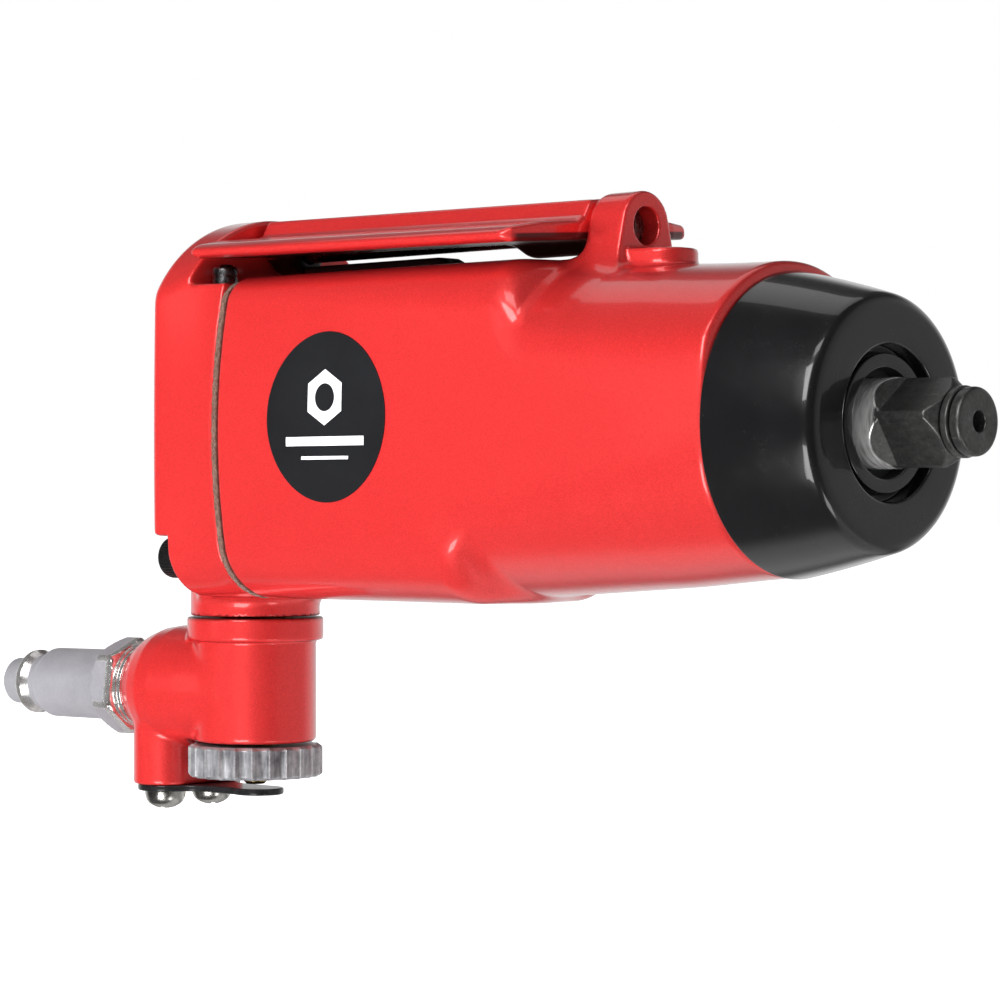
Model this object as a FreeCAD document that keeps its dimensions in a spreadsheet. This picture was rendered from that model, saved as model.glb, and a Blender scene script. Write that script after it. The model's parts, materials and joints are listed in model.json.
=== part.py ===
import FreeCAD, Part
import Sketcher
import math
import os

# Pneumatic butterfly impact wrench, 3/8 in square drive, swivel inlet with regulator.
# Frame: origin at the centre of the anvil's end face, +X forward along the drive axis,
# +Z up towards the throttle lever, millimetres.
# Lengths called "l_" are measured rearwards from the anvil's end face.

V = FreeCAD.Vector
doc = FreeCAD.newDocument("impact_wrench")

# ---------------------------------------------------------------- driving sizes
DIMS = [
    ("drive_af", 9.525), ("drive_corner_rad", 6.235), ("drive_clock", 9.3),
    ("collar_rad", 4.75), ("l_collar", 1.7), ("l_groove", 3.4), ("groove_rad", 3.4),
    ("l_square_a", 4.9), ("l_square_b", 12.4), ("shank_rad", 6.35), ("tip_hole_rad", 1.5),
    ("l_shank", 34.2), ("flange_rad", 10.0), ("l_flange", 36.6), ("jaw_rad", 8.0),
    ("l_jaw", 55.4),
    ("l_nose", 14.5), ("nose_face_rad", 17.9), ("nose_mid_rad", 19.9), ("nose_rear_rad", 21.9),
    ("l_case_seat", 31.0), ("sleeve_rad", 19.4), ("sleeve_bore_rad", 17.0), ("l_sleeve", 62.0),
    ("recess_rad", 11.0), ("boss_ring_rad", 9.8), ("boss_bore_rad", 7.7), ("bush_rad", 8.0),
    ("cone_rad_a", 21.6), ("cone_rad_b", 22.2), ("cone_rad_c", 23.3), ("cone_rad_d", 24.8),
    ("cone_rad_e", 25.6), ("bore_rad", 19.5),
    ("body_half", 21.5), ("deck_top", 25.0), ("body_bottom", -26.3), ("top_corner", 9.0),
    ("bottom_corner", 11.5), ("l_block", 62.5), ("l_gasket", 130.8), ("gasket_thk", 0.6),
    ("l_rear", 145.7), ("ledge_top", 24.0), ("l_ledge", 138.9), ("arch_rad", 24.0),
    ("arch_centre", 11.4),
    ("pivot_height", 29.9), ("ear_rad", 5.2), ("ear_hole_rad", 2.83), ("l_ear_front", 59.1),
    ("l_ear_rear", 65.8), ("pin_rad", 1.9), ("pin_head_rad", 2.75), ("pin_bore_rad", 2.0),
    ("l_lever_front", 66.6), ("l_lever_rear", 137.9), ("wing_half", 21.0),
    ("valve_x", -134.9), ("valve_y", 15.7), ("stem_rad", 2.0), ("valve_bush_rad", 3.0),
    ("lever_lean", 3.8),
    ("swivel_x", -145.0), ("neck_rad", 10.7), ("neck_bottom", -29.8), ("inlet_height", -42.3),
    ("inlet_turn", 8.0),
    ("collar_out_rad", 11.3), ("swivel_rad", 10.1), ("knob_rad", 11.1), ("post_rad", 6.0),
    ("inlet_boss_rad", 10.8), ("column_rad", 5.3), ("column_x", -16.8), ("column_y", 5.2),
    ("plug_tip", 54.7), ("plug_body_rad", 5.95), ("plug_nose_rad", 3.95), ("plug_ring_rad", 5.5),
    ("plug_hex_af", 14.3), ("plug_bore_rad", 2.4),
    ("plate_thk", 1.1), ("plate_screw_rad", 3.25),
    ("rotor_rad", 15.0), ("liner_rad", 19.3), ("liner_bore_rad", 16.6), ("liner_offset", 1.4),
    ("l_liner_a", 72.4), ("l_liner_b", 112.0), ("bearing_rad", 11.0), ("shaft_rad", 5.0),
    ("cage_rad", 16.4), ("cage_bore_rad", 14.3), ("dog_rad", 13.2), ("dog_bore_rad", 9.1),
    ("dog_pivot", 12.9), ("dog_pin_rad", 2.0),
    ("screw_y", 16.5), ("screw_y_top", 10.0), ("screw_top", 21.2), ("screw_low", -20.6), ("screw_rad", 2.0),
    ("screw_head_rad", 3.4), ("badge_rad", 13.1), ("badge_x", -105.5), ("badge_z", 2.1),
]
dims = doc.addObject("Spreadsheet::Sheet", "dims")
P = {}
for i, (name, value) in enumerate(DIMS):
    dims.set("A%d" % (i + 1), name)
    dims.set("B%d" % (i + 1), str(value))
    dims.setAlias("B%d" % (i + 1), name)
    P[name] = float(value)
doc.recompute()


class Q:
    """A length taken from the sheet: mul * alias + add."""
    def __init__(self, alias, add=0.0, mul=1.0):
        self.value = P[alias] * mul + add
        self.text = "dims.%s * %.6f + %.6f" % (alias, mul, add)


def num(v):
    return v.value if isinstance(v, Q) else float(v)


def bind(obj, prop, v):
    if isinstance(v, Q):
        obj.setExpression(prop, v.text)


# ---------------------------------------------------------------- helpers
PLACE_AXIAL = FreeCAD.Placement(V(0, 0, 0), FreeCAD.Rotation(V(0, 1, 0), -90))
NODES = []


def body(label, placement=None):
    b = doc.addObject("PartDesign::Body", "b_" + label)
    b.Label = label
    if placement is not None:
        b.Placement = placement
    NODES.append(b)
    return b


def plane(b, role):
    return [f for f in b.Origin.OriginFeatures if f.Role == role][0]


def sketch(b, role, off=0.0):
    s = b.newObject("Sketcher::SketchObject", "s_%s_%d" % (b.Label, len(b.Group)))
    s.AttachmentSupport = (plane(b, role), [""])
    s.MapMode = "FlatFace"
    s.AttachmentOffset = FreeCAD.Placement(V(0, 0, num(off)), FreeCAD.Rotation())
    if isinstance(off, Q):
        s.setExpression("AttachmentOffset.Base.z", off.text)
    return s


def add_poly(s, pts):
    n = len(pts)
    base = s.GeometryCount
    for i in range(n):
        a, c = pts[i], pts[(i + 1) % n]
        s.addGeometry(Part.LineSegment(V(num(a[0]), num(a[1]), 0), V(num(c[0]), num(c[1]), 0)), False)
    for i in range(n):
        s.addConstraint(Sketcher.Constraint("Coincident", base + i, 2, base + (i + 1) % n, 1))
    for i, (x, y) in enumerate(pts):
        for kind, v in (("DistanceX", x), ("DistanceY", y)):
            c = s.addConstraint(Sketcher.Constraint(kind, -1, 1, base + i, 1, num(v)))
            if isinstance(v, Q):
                s.setExpression("Constraints[%d]" % c, v.text)


def add_circle(s, cx, cy, r):
    g = s.addGeometry(Part.Circle(V(num(cx), num(cy), 0), V(0, 0, 1), num(r)), False)
    for kind, v in (("DistanceX", cx), ("DistanceY", cy)):
        c = s.addConstraint(Sketcher.Constraint(kind, -1, 1, g, 3, num(v)))
        if isinstance(v, Q):
            s.setExpression("Constraints[%d]" % c, v.text)
    c = s.addConstraint(Sketcher.Constraint("Radius", g, num(r)))
    if isinstance(r, Q):
        s.setExpression("Constraints[%d]" % c, r.text)


def poly(b, role, pts, off=0.0):
    s = sketch(b, role, off)
    add_poly(s, pts)
    return s


def circle(b, role, cx, cy, r, off=0.0):
    s = sketch(b, role, off)
    add_circle(s, cx, cy, r)
    return s


def circles(b, role, items, off=0.0):
    s = sketch(b, role, off)
    for cx, cy, r in items:
        add_circle(s, cx, cy, r)
    return s


def box(b, role, x0, y0, x1, y1, off=0.0):
    return poly(b, role, [(x0, y0), (x1, y0), (x1, y1), (x0, y1)], off)


def feat(b, kind, s, length, reverse=False):
    """Pad or Pocket of a sketch; the volume has to change."""
    before = b.Shape.Volume if b.Tip is not None and not b.Shape.isNull() else 0.0
    f = b.newObject("PartDesign::" + kind, "%s_%s_%d" % (kind.lower(), b.Label, len(b.Group)))
    f.Profile = s
    f.Length = num(length)
    bind(f, "Length", length)
    f.Reversed = reverse
    doc.recompute()
    after = b.Shape.Volume
    if abs(after - before) < 1e-3:
        raise RuntimeError("%s on %s changed nothing" % (kind, b.Label))
    if kind == "Pocket" and after > before:
        raise RuntimeError("pocket added material on " + b.Label)
    return f


def pad(b, s, length, reverse=False):
    return feat(b, "Pad", s, length, reverse)


def pocket(b, s, length, reverse=False):
    return feat(b, "Pocket", s, length, reverse)


def turn(b, s, kind="Revolution", axis="V_Axis", angle=360.0, mid=False):
    before = b.Shape.Volume if b.Tip is not None and not b.Shape.isNull() else 0.0
    f = b.newObject("PartDesign::" + kind, "%s_%s_%d" % (kind.lower(), b.Label, len(b.Group)))
    f.Profile = s
    f.ReferenceAxis = (s, [axis])
    f.Angle = angle
    f.Midplane = mid
    doc.recompute()
    if abs(b.Shape.Volume - before) < 1e-3:
        raise RuntimeError("%s on %s changed nothing" % (kind, b.Label))
    return f


def soften(b, radius, pick, kind="Fillet", solids=1):
    """Fillet or chamfer of the edges that pick() accepts; kept only if the result is valid."""
    tip = b.Tip
    names = []
    for i, e in enumerate(tip.Shape.Edges):
        try:
            if pick(e):
                names.append("Edge%d" % (i + 1))
        except Exception:
            pass
    if not names:
        print("note: no edge to soften on", b.Label)
        return None
    f = b.newObject("PartDesign::" + kind, "%s_%s_%d" % (kind.lower(), b.Label, len(b.Group)))
    f.Base = (tip, names)
    if kind == "Fillet":
        f.Radius = num(radius)
        bind(f, "Radius", radius)
    else:
        f.Size = num(radius)
    doc.recompute()
    bad = ("Invalid" in f.State) or ("Error" in f.State) or f.Shape.isNull() or not f.Shape.isValid()
    if bad or len(f.Shape.Solids) != solids:
        b.removeObject(f)
        doc.removeObject(f.Name)
        b.Tip = tip
        doc.recompute()
        print("note: soften skipped on", b.Label, radius, len(names))
        return None
    return f


def lathe(label, pts, placement=PLACE_AXIAL):
    """Turned piece: (radius, length) profile about the local Z axis."""
    b = body(label, placement)
    turn(b, poly(b, "XZ_Plane", pts))
    return b


def ring(label, r0, r1, z0, z1, placement=PLACE_AXIAL):
    return lathe(label, [(r0, z0), (r1, z0), (r1, z1), (r0, z1)], placement)


# ================================================================ drive end
# anvil: end collar, friction-ring groove, square, shank, thrust flange, two-jaw tail
anvil = lathe("anvil", [
    (0, 4.0), (Q("tip_hole_rad"), 4.0), (Q("tip_hole_rad"), 0.0), (Q("collar_rad", -0.4), 0.0),
    (Q("collar_rad"), 0.4), (Q("collar_rad"), Q("l_collar")), (Q("groove_rad"), Q("l_collar")),
    (Q("groove_rad"), Q("l_groove")), (Q("collar_rad", -0.1), Q("l_groove")),
    (Q("drive_corner_rad"), Q("l_square_a")), (Q("drive_corner_rad"), Q("l_square_b")),
    (Q("shank_rad"), Q("l_square_b")), (Q("shank_rad"), Q("l_shank")),
    (Q("flange_rad"), Q("l_shank")), (Q("flange_rad"), Q("l_flange")),
    (Q("jaw_rad"), Q("l_flange")), (Q("jaw_rad"), Q("l_jaw")), (0, Q("l_jaw"))])
ca = math.radians(P["drive_clock"])
half = P["drive_af"] / 2.0
corners = []
for k in range(4):
    ang = ca + math.radians(90 * k)
    corners.append((half * math.sqrt(2) * math.cos(ang), half * math.sqrt(2) * math.sin(ang)))
k_af = 1.0 / P["drive_af"]
sq = sketch(anvil, "XY_Plane", Q("l_collar"))
add_poly(sq, [(-9, -9), (9, -9), (9, 9), (-9, 9)])
add_poly(sq, [(Q("drive_af", 0, x * k_af), Q("drive_af", 0, y * k_af)) for x, y in corners])
pocket(anvil, sq, Q("l_square_b", -P["l_collar"]), reverse=True)
for sgn in (1, -1):
    y0, y1 = (6.2, 12.0) if sgn > 0 else (-12.0, -6.2)
    pocket(anvil, box(anvil, "XY_Plane", -12, y0, 12, y1, 40.0), 20.0, reverse=True)

ring("socket_ring_oring", Q("groove_rad", 0.05), Q("groove_rad", 0.6), 2.0, 3.1)
sr = ring("socket_retaining_ring", Q("groove_rad", 0.65), Q("collar_rad", 0.22), 1.9, 3.2)
pocket(sr, box(sr, "XY_Plane", 2.0, -0.6, 7.0, 0.6, 1.0), 4.0, reverse=True)

# hammer case: nose outside, ring groove and seal boss in its face, sleeve inside the housing
case = lathe("hammer_case", [
    (Q("boss_bore_rad"), 15.4), (Q("boss_ring_rad"), 15.4), (Q("boss_ring_rad"), 17.6),
    (Q("recess_rad"), 17.6), (Q("recess_rad"), Q("l_nose")), (Q("nose_face_rad"), Q("l_nose")),
    (Q("nose_mid_rad", -0.05), 22.0), (Q("nose_mid_rad", 1.25), 27.0),
    (Q("nose_rear_rad"), Q("l_case_seat")), (Q("sleeve_rad"), Q("l_case_seat")),
    (Q("sleeve_rad"), 33.6), (Q("sleeve_rad", -0.85), 33.6), (Q("sleeve_rad", -0.85), 35.2),
    (Q("sleeve_rad"), 35.2), (Q("sleeve_rad"), Q("l_sleeve")),
    (Q("sleeve_bore_rad"), Q("l_sleeve")), (Q("sleeve_bore_rad"), 37.4), (11.0, 33.9),
    (Q("bush_rad"), 33.9), (Q("bush_rad"), 19.6), (Q("boss_bore_rad"), 19.6)])
soften(case, 2.6, lambda e: e.Curve.TypeId == "Part::GeomCircle"
       and abs(e.Curve.Radius - P["nose_face_rad"]) < 0.01
       and abs(e.Curve.Center.z - P["l_nose"]) < 0.01)
ring("anvil_bushing", Q("shank_rad", 0.06), Q("bush_rad"), 19.6, 33.9)
ring("nose_seal_ring", Q("shank_rad", 0.12), Q("boss_bore_rad"), 17.9, 19.6)
ring("case_oring", Q("sleeve_rad", -0.85), Q("bore_rad"), 33.7, 35.1)

# ================================================================ hammer train
cage = lathe("hammer_cage", [
    (8.6, 38.0), (Q("cage_rad"), 38.0), (Q("cage_rad"), 60.0), (Q("shaft_rad", 0.1), 60.0),
    (Q("shaft_rad", 0.1), 56.2), (Q("cage_bore_rad"), 56.2), (Q("cage_bore_rad"), 41.6), (8.6, 41.6)])
pocket(cage, box(cage, "XY_Plane", 8.0, -12.4, 20.0, 12.4, 41.6), 14.6, reverse=True)
pocket(cage, circle(cage, "XY_Plane", Q("dog_pivot"), 0, Q("dog_pin_rad"), 30.0), 40.0, reverse=True)
dog = body("hammer_dog", PLACE_AXIAL)
pad(dog, circle(dog, "XY_Plane", 0, 0, Q("dog_rad"), 42.0), 13.8)
pad(dog, circle(dog, "XY_Plane", Q("dog_pivot"), 0, 3.2, 42.0), 13.8)
pocket(dog, circle(dog, "XY_Plane", 0, 0, Q("dog_bore_rad"), 41.0), 20.0, reverse=True)
pocket(dog, circle(dog, "XY_Plane", Q("dog_pivot"), 0, Q("dog_pin_rad", 0.06), 41.0), 20.0, reverse=True)
hp = body("hammer_pin", PLACE_AXIAL)
pad(hp, circle(hp, "XY_Plane", Q("dog_pivot"), 0, Q("dog_pin_rad"), 38.2), 21.6)

# ================================================================ air motor
rotor = lathe("rotor", [
    (0, 56.6), (Q("shaft_rad"), 56.6), (Q("shaft_rad"), 72.5), (6.6, 72.65), (Q("rotor_rad"), 72.8),
    (Q("rotor_rad"), 111.6), (6.6, 111.75), (Q("shaft_rad"), 111.9), (Q("shaft_rad"), 119.4), (0, 119.4)])
slot = box(rotor, "XY_Plane", 6.6, -1.05, 16.0, 1.05, 72.0)
pk = pocket(rotor, slot, 41.0, reverse=True)
pat = rotor.newObject("PartDesign::PolarPattern", "vane_slots")
pat.Originals = [pk]
pat.Axis = (slot, ["N_Axis"])
pat.Angle = 360.0
pat.Occurrences = 6
rotor.Tip = pat
doc.recompute()
# six vanes, each a plate standing in its slot, drawn pushed home
vane_parts = []
for k in range(6):
    vb = doc.addObject("Part::Box", "vane_%d" % k)
    vb.Length = 8.2
    vb.Width = 1.9
    vb.Height = 38.6
    ang = 60 * k
    vb.Placement = FreeCAD.Placement(V(0, 0, 0), FreeCAD.Rotation(V(0, 0, 1), ang)).multiply(
        FreeCAD.Placement(V(6.75, -0.95, 72.9), FreeCAD.Rotation()))
    vane_parts.append(vb)
vanes = doc.addObject("Part::Compound", "b_rotor_vanes")
vanes.Links = vane_parts
vanes.Label = "rotor_vanes"
vanes.Placement = PLACE_AXIAL
NODES.append(vanes)

liner = body("cylinder_liner", PLACE_AXIAL)
pad(liner, circle(liner, "XY_Plane", 0, 0, Q("liner_rad"), Q("l_liner_a")), Q("l_liner_b", -P["l_liner_a"]))
pocket(liner, circle(liner, "XY_Plane", Q("liner_offset"), 0, Q("liner_bore_rad"), 60.0), 70.0, reverse=True)
pocket(liner, circle(liner, "XY_Plane", -17.3, 0, 1.1, 60.0), 70.0, reverse=True)
for label, a, bq, ba, bb in (("front_end_plate", 64.4, Q("l_liner_a"), 64.4, 70.4),
                            ("rear_end_plate", Q("l_liner_b"), 119.6, 113.6, 119.6)):
    e = lathe(label, [(5.8, a), (Q("liner_rad"), a), (Q("liner_rad"), bq), (5.8, bq)])
    turn(e, poly(e, "XZ_Plane", [(1.0, ba), (Q("bearing_rad"), ba), (Q("bearing_rad"), bb), (1.0, bb)]), "Groove")
    pocket(e, circle(e, "XY_Plane", -17.3, 0, 1.1, 60.0), 70.0, reverse=True)
dw = body("liner_dowel", PLACE_AXIAL)
pad(dw, circle(dw, "XY_Plane", -17.3, 0, 1.1, 66.0), 52.0)
for side, z0 in (("front", 64.4), ("rear", 113.6)):
    ring(side + "_bearing_outer_race", 9.3, Q("bearing_rad"), z0, z0 + 6.0)
    ring(side + "_bearing_inner_race", Q("shaft_rad"), 6.9, z0, z0 + 6.0)
    parts = []
    for k in range(9):
        sp = doc.addObject("Part::Sphere", "%s_ball_%d" % (side, k))
        sp.Radius = 1.12
        sp.Placement = FreeCAD.Placement(
            V(8.1 * math.cos(math.radians(40 * k)), 8.1 * math.sin(math.radians(40 * k)), z0 + 3.0),
            FreeCAD.Rotation())
        parts.append(sp)
    c = doc.addObject("Part::Compound", "b_%s_bearing_balls" % side)
    c.Links = parts
    c.Label = side + "_bearing_balls"
    c.Placement = PLACE_AXIAL
    NODES.append(c)

# ================================================================ motor housing
# The rectangular grip blends into the tapered barrel; its corners run out on two conical
# shoulders, the upper one further forward than the lower one.
hs = body("motor_housing")
pad(hs, box(hs, "YZ_Plane", Q("body_half", 0, -1), Q("body_bottom"), Q("body_half"), Q("deck_top"),
            Q("l_gasket", 0, -1)), Q("l_gasket", -P["l_block"]))


def along_x(e, y, z, tol=0.01):
    a, c = e.Vertexes[0].Point, e.Vertexes[-1].Point
    return (abs(a.y - c.y) < tol and abs(a.z - c.z) < tol and abs(a.x - c.x) > 1.0
            and abs(abs(a.y) - y) < tol and abs(a.z - z) < tol)


soften(hs, Q("top_corner"), lambda e: along_x(e, P["body_half"], P["deck_top"]))
soften(hs, Q("bottom_corner"), lambda e: along_x(e, P["body_half"], P["body_bottom"]))
turn(hs, poly(hs, "XZ_Plane", [
    (-62.0, 24.2), (Q("l_block", 0, -1), 24.25), (-70.4, 29.6), (-70.4, 40), (-62.0, 40)]),
    "Groove", "H_Axis", 180.0, True)
turn(hs, poly(hs, "XZ_Plane", [
    (-62.0, -24.15), (Q("l_block", 0, -1), -24.25), (-70.0, -24.8), (-77.7, -25.35), (-81.2, -29.8),
    (-81.2, -40), (-62.0, -40)]), "Groove", "H_Axis", 180.0, True)
turn(hs, poly(hs, "XZ_Plane", [
    (Q("l_case_seat", 0, -1), 0), (Q("l_case_seat", 0, -1), Q("cone_rad_a", -0.5)), (-31.5, Q("cone_rad_a")),
    (-37.6, Q("cone_rad_b")), (-48.6, Q("cone_rad_c")), (-70.0, Q("cone_rad_d")), (-82.0, Q("cone_rad_e")),
    (-90.0, Q("cone_rad_e")), (-90.0, 0)]), "Revolution", "H_Axis")
cut = sketch(hs, "YZ_Plane", 0.0)
add_poly(cut, [(Q("body_half"), -32), (32, -32), (32, 32), (Q("body_half"), 32)])
add_poly(cut, [(-32, -32), (Q("body_half", 0, -1), -32), (Q("body_half", 0, -1), 32), (-32, 32)])
pocket(hs, cut, 200.0)
# flat deck behind the ear, low rib on it, front ear and its foot boss
pocket(hs, box(hs, "YZ_Plane", -24, Q("deck_top"), 24, 32, -62.8), 80.0)
pad(hs, box(hs, "XY_Plane", Q("l_gasket", 0, -1), -2.6, -98.0, 2.6, 24.0), 3.3)
ear = sketch(hs, "YZ_Plane", Q("l_ear_rear", 0, -1))
ew = P["ear_rad"]
arc = []
for k in range(13):
    t = math.radians(-14 + (180 + 28) * k / 12.0)
    arc.append((Q("ear_rad", 0, math.cos(t)), Q("pivot_height", ew * math.sin(t))))
add_poly(ear, [(-7.9, 20.0), (7.9, 20.0)] + arc)
pad(hs, ear, Q("l_ear_rear", -P["l_ear_front"]))
pad(hs, circle(hs, "XY_Plane", -55.8, 0, 5.0, 20.0), 6.3)
pad(hs, box(hs, "XY_Plane", -60.0, -5.0, -55.8, 5.0, 20.0), 6.3)
pocket(hs, circle(hs, "YZ_Plane", 0, Q("pivot_height"), Q("ear_hole_rad"), -50.0), 20.0)
# bores: hammer-case sleeve, shoulder, motor
turn(hs, poly(hs, "XZ_Plane", [
    (-30.0, 0), (-30.0, Q("bore_rad")), (-62.4, Q("bore_rad")), (-62.4, 16.6), (-64.4, 16.6),
    (-64.4, Q("bore_rad")), (-131.5, Q("bore_rad")), (-131.5, 0)]), "Groove", "H_Axis")


def screw_items(radius_q):
    out = []
    for sy in (1, -1):
        for ya, za in (("screw_y_top", "screw_top"), ("screw_y", "screw_low")):
            out.append((Q(ya, 0, sy), Q(za), radius_q))
    return out


pocket(hs, circles(hs, "YZ_Plane", screw_items(Q("screw_rad")), -112.0), 30.0)

# gasket
gk = body("rear_gasket")
pad(gk, box(gk, "YZ_Plane", Q("body_half", 0, -1), Q("body_bottom"), Q("body_half"), Q("deck_top"),
            Q("l_gasket", -P["gasket_thk"], -1)),
    Q("gasket_thk"))
soften(gk, Q("top_corner"), lambda e: abs(e.Length - P["gasket_thk"]) < 1e-3 and e.Vertexes[0].Point.z > 0)
soften(gk, Q("bottom_corner"), lambda e: abs(e.Length - P["gasket_thk"]) < 1e-3 and e.Vertexes[0].Point.z < 0)
pocket(gk, circle(gk, "YZ_Plane", 0, 0, Q("bore_rad"), -100.0), 60.0)
pocket(gk, circles(gk, "YZ_Plane", screw_items(Q("screw_rad", 0.15)), -100.0), 60.0)

# rear cover
rc = body("rear_cover")
x_front = -(P["l_gasket"] + P["gasket_thk"])
pad(rc, box(rc, "YZ_Plane", Q("body_half", 0, -1), Q("body_bottom"), Q("body_half"), Q("ledge_top"),
            Q("l_rear", 0, -1)), Q("l_rear", x_front))
soften(rc, Q("top_corner"), lambda e: along_x(e, P["body_half"], P["ledge_top"]))
soften(rc, Q("bottom_corner"), lambda e: along_x(e, P["body_half"], P["body_bottom"]))
arch = sketch(rc, "YZ_Plane", Q("l_rear", 0, -1))
pts = [(Q("body_half", 0, -1), 5.0), (Q("body_half"), 5.0)]
a0 = math.acos(P["body_half"] / P["arch_rad"])
for k in range(19):
    t = a0 + (math.pi - 2 * a0) * k / 18.0
    pts.append((Q("arch_rad", 0, math.cos(t)), Q("arch_centre", P["arch_rad"] * math.sin(t))))
add_poly(arch, pts)
pad(rc, arch, Q("l_rear", -P["l_ledge"]))
soften(rc, 2.6, lambda e: all(abs(v.Point.x + P["l_rear"]) < 0.01 for v in e.Vertexes)
       and e.BoundBox.XLength < 0.01)
# swivel neck and the round air duct that rises behind the cover
pad(rc, circle(rc, "XY_Plane", Q("swivel_x"), 0, Q("neck_rad"), Q("neck_bottom")), 34.0)
soften(rc, 2.5, lambda e: e.Curve.TypeId == "Part::GeomCircle" and abs(e.Curve.Center.z - 4.2) < 0.01
       and abs(e.Curve.Radius - P["neck_rad"]) < 0.01)
# spigot that clamps the motor
pad(rc, circle(rc, "YZ_Plane", 0, 0, Q("bore_rad", -0.15), -132.0), 12.4)
pocket(rc, circle(rc, "YZ_Plane", 0, 0, 16.0, -119.0), 15.0)
# pivot, valve, screw and duct bores, screw-head notches at the lower corners
pocket(rc, circle(rc, "YZ_Plane", 0, Q("pivot_height"), Q("pin_rad"), -130.0), 14.0)
for sy in (1, -1):
    pocket(rc, circle(rc, "XY_Plane", Q("valve_x"), Q("valve_y", 0, sy), Q("valve_bush_rad"), 30.0), 36.0)
    pocket(rc, poly(rc, "YZ_Plane", [(sy * 12.4, -28.0), (sy * 24.0, -28.0), (sy * 24.0, -17.4),
                                     (sy * 14.4, -16.4), (sy * 12.4, -18.4)], -150.0), 7.0, reverse=True)
    pocket(rc, circle(rc, "YZ_Plane", Q("screw_y_top", 0, sy), Q("screw_top"), 3.7, -150.0), 7.0, reverse=True)
pocket(rc, circles(rc, "YZ_Plane", screw_items(Q("screw_rad", 0.15)), -160.0), 60.0, reverse=True)
pocket(rc, circle(rc, "XY_Plane", Q("swivel_x"), 0, Q("post_rad"), -31.0), 15.0, reverse=True)
pocket(rc, circle(rc, "XY_Plane", Q("swivel_x"), 0, 3.6, -17.0), 15.0, reverse=True)
pocket(rc, circle(rc, "YZ_Plane", 0, -4.5, 3.6, -128.0), 17.0)

# cover screws: cap head, long shank, blind socket in the head
scr = body("cover_screws")
first = True
pad(scr, circles(scr, "YZ_Plane", screw_items(Q("screw_rad")), -143.0), 28.0)
pad(scr, circles(scr, "YZ_Plane", screw_items(Q("screw_head_rad")), -143.0), 4.0, reverse=True)
pocket(scr, circles(scr, "YZ_Plane", screw_items(1.5), -147.5), 2.6, reverse=True)

# ================================================================ throttle
lever_place = FreeCAD.Placement(V(0, 0, 0), FreeCAD.Rotation(V(1, 0, 0), P["lever_lean"]),
                                V(0, 0, P["pivot_height"]))
lv = body("throttle_lever", lever_place)


def lever_section(drop):
    half_pts = [(3.6, 35.0), (4.9, 33.0 - 0.5 * drop), (6.6, 32.3 - drop * 0.9), (14.0, 32.2 - drop),
                (19.6, 31.5 - drop), (P["wing_half"], 30.9 - drop), (P["wing_half"] - 0.2, 29.7 - drop),
                (19.8, 29.3 - drop), (4.0, 29.3 - drop)]
    right = [(y, z) for y, z in half_pts]
    left = [(-y, z) for y, z in reversed(half_pts)]
    return right + left


for q, drop in ((Q("l_lever_rear", 0, -1), 0.0), (Q("l_lever_front", 0, -1), 1.1)):
    s = poly(lv, "YZ_Plane", lever_section(drop), q)
    if drop == 0.0:
        s_rear = s
    else:
        s_front = s
lf = lv.newObject("PartDesign::AdditiveLoft", "lever_loft")
lf.Profile = s_rear
lf.Sections = [s_front]
lf.Ruled = True
doc.recompute()
front_cut = sketch(lv, "XY_Plane", 20.0)
add_poly(front_cut, [(-66.0, 5.2), (-66.7, 5.2), (-67.6, 12.0), (-70.2, 19.4), (-72.4, 21.2), (-72.4, 24), (-66.0, 24)])
add_poly(front_cut, [(-66.0, -5.2), (-66.0, -24), (-72.4, -24), (-72.4, -21.2), (-70.2, -19.4), (-67.6, -12.0), (-66.7, -5.2)])
pocket(lv, front_cut, 20.0, reverse=True)
pad(lv, circle(lv, "YZ_Plane", 0, Q("pivot_height"), 3.7, -84.0), 17.4)
pad(lv, circle(lv, "YZ_Plane", 0, Q("pivot_height"), 3.7, Q("l_lever_rear", 0, -1)), 6.3)
pocket(lv, box(lv, "XY_Plane", -131.5, -2.3, -84.1, 2.3, 20.0), 12.4, reverse=True)
pocket(lv, circle(lv, "YZ_Plane", 0, Q("pivot_height"), Q("pin_bore_rad"), -60.0), 90.0)

# pivot pin: slotted head recessed in the front ear, shank through the lever into the rear ear
pin_place = FreeCAD.Placement(V(0, 0, P["pivot_height"]), FreeCAD.Rotation(V(0, 1, 0), -90))
pn = lathe("throttle_pivot_pin", [
    (0, 61.9), (Q("pin_head_rad", -0.3), 61.9), (Q("pin_head_rad"), 62.2), (Q("pin_head_rad"), 65.8),
    (Q("pin_rad"), 65.8), (Q("pin_rad"), 143.6), (0, 143.6)], pin_place)
pocket(pn, box(pn, "XY_Plane", -4, -0.4, 4, 0.4, 60.0), 2.9, reverse=True)

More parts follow.
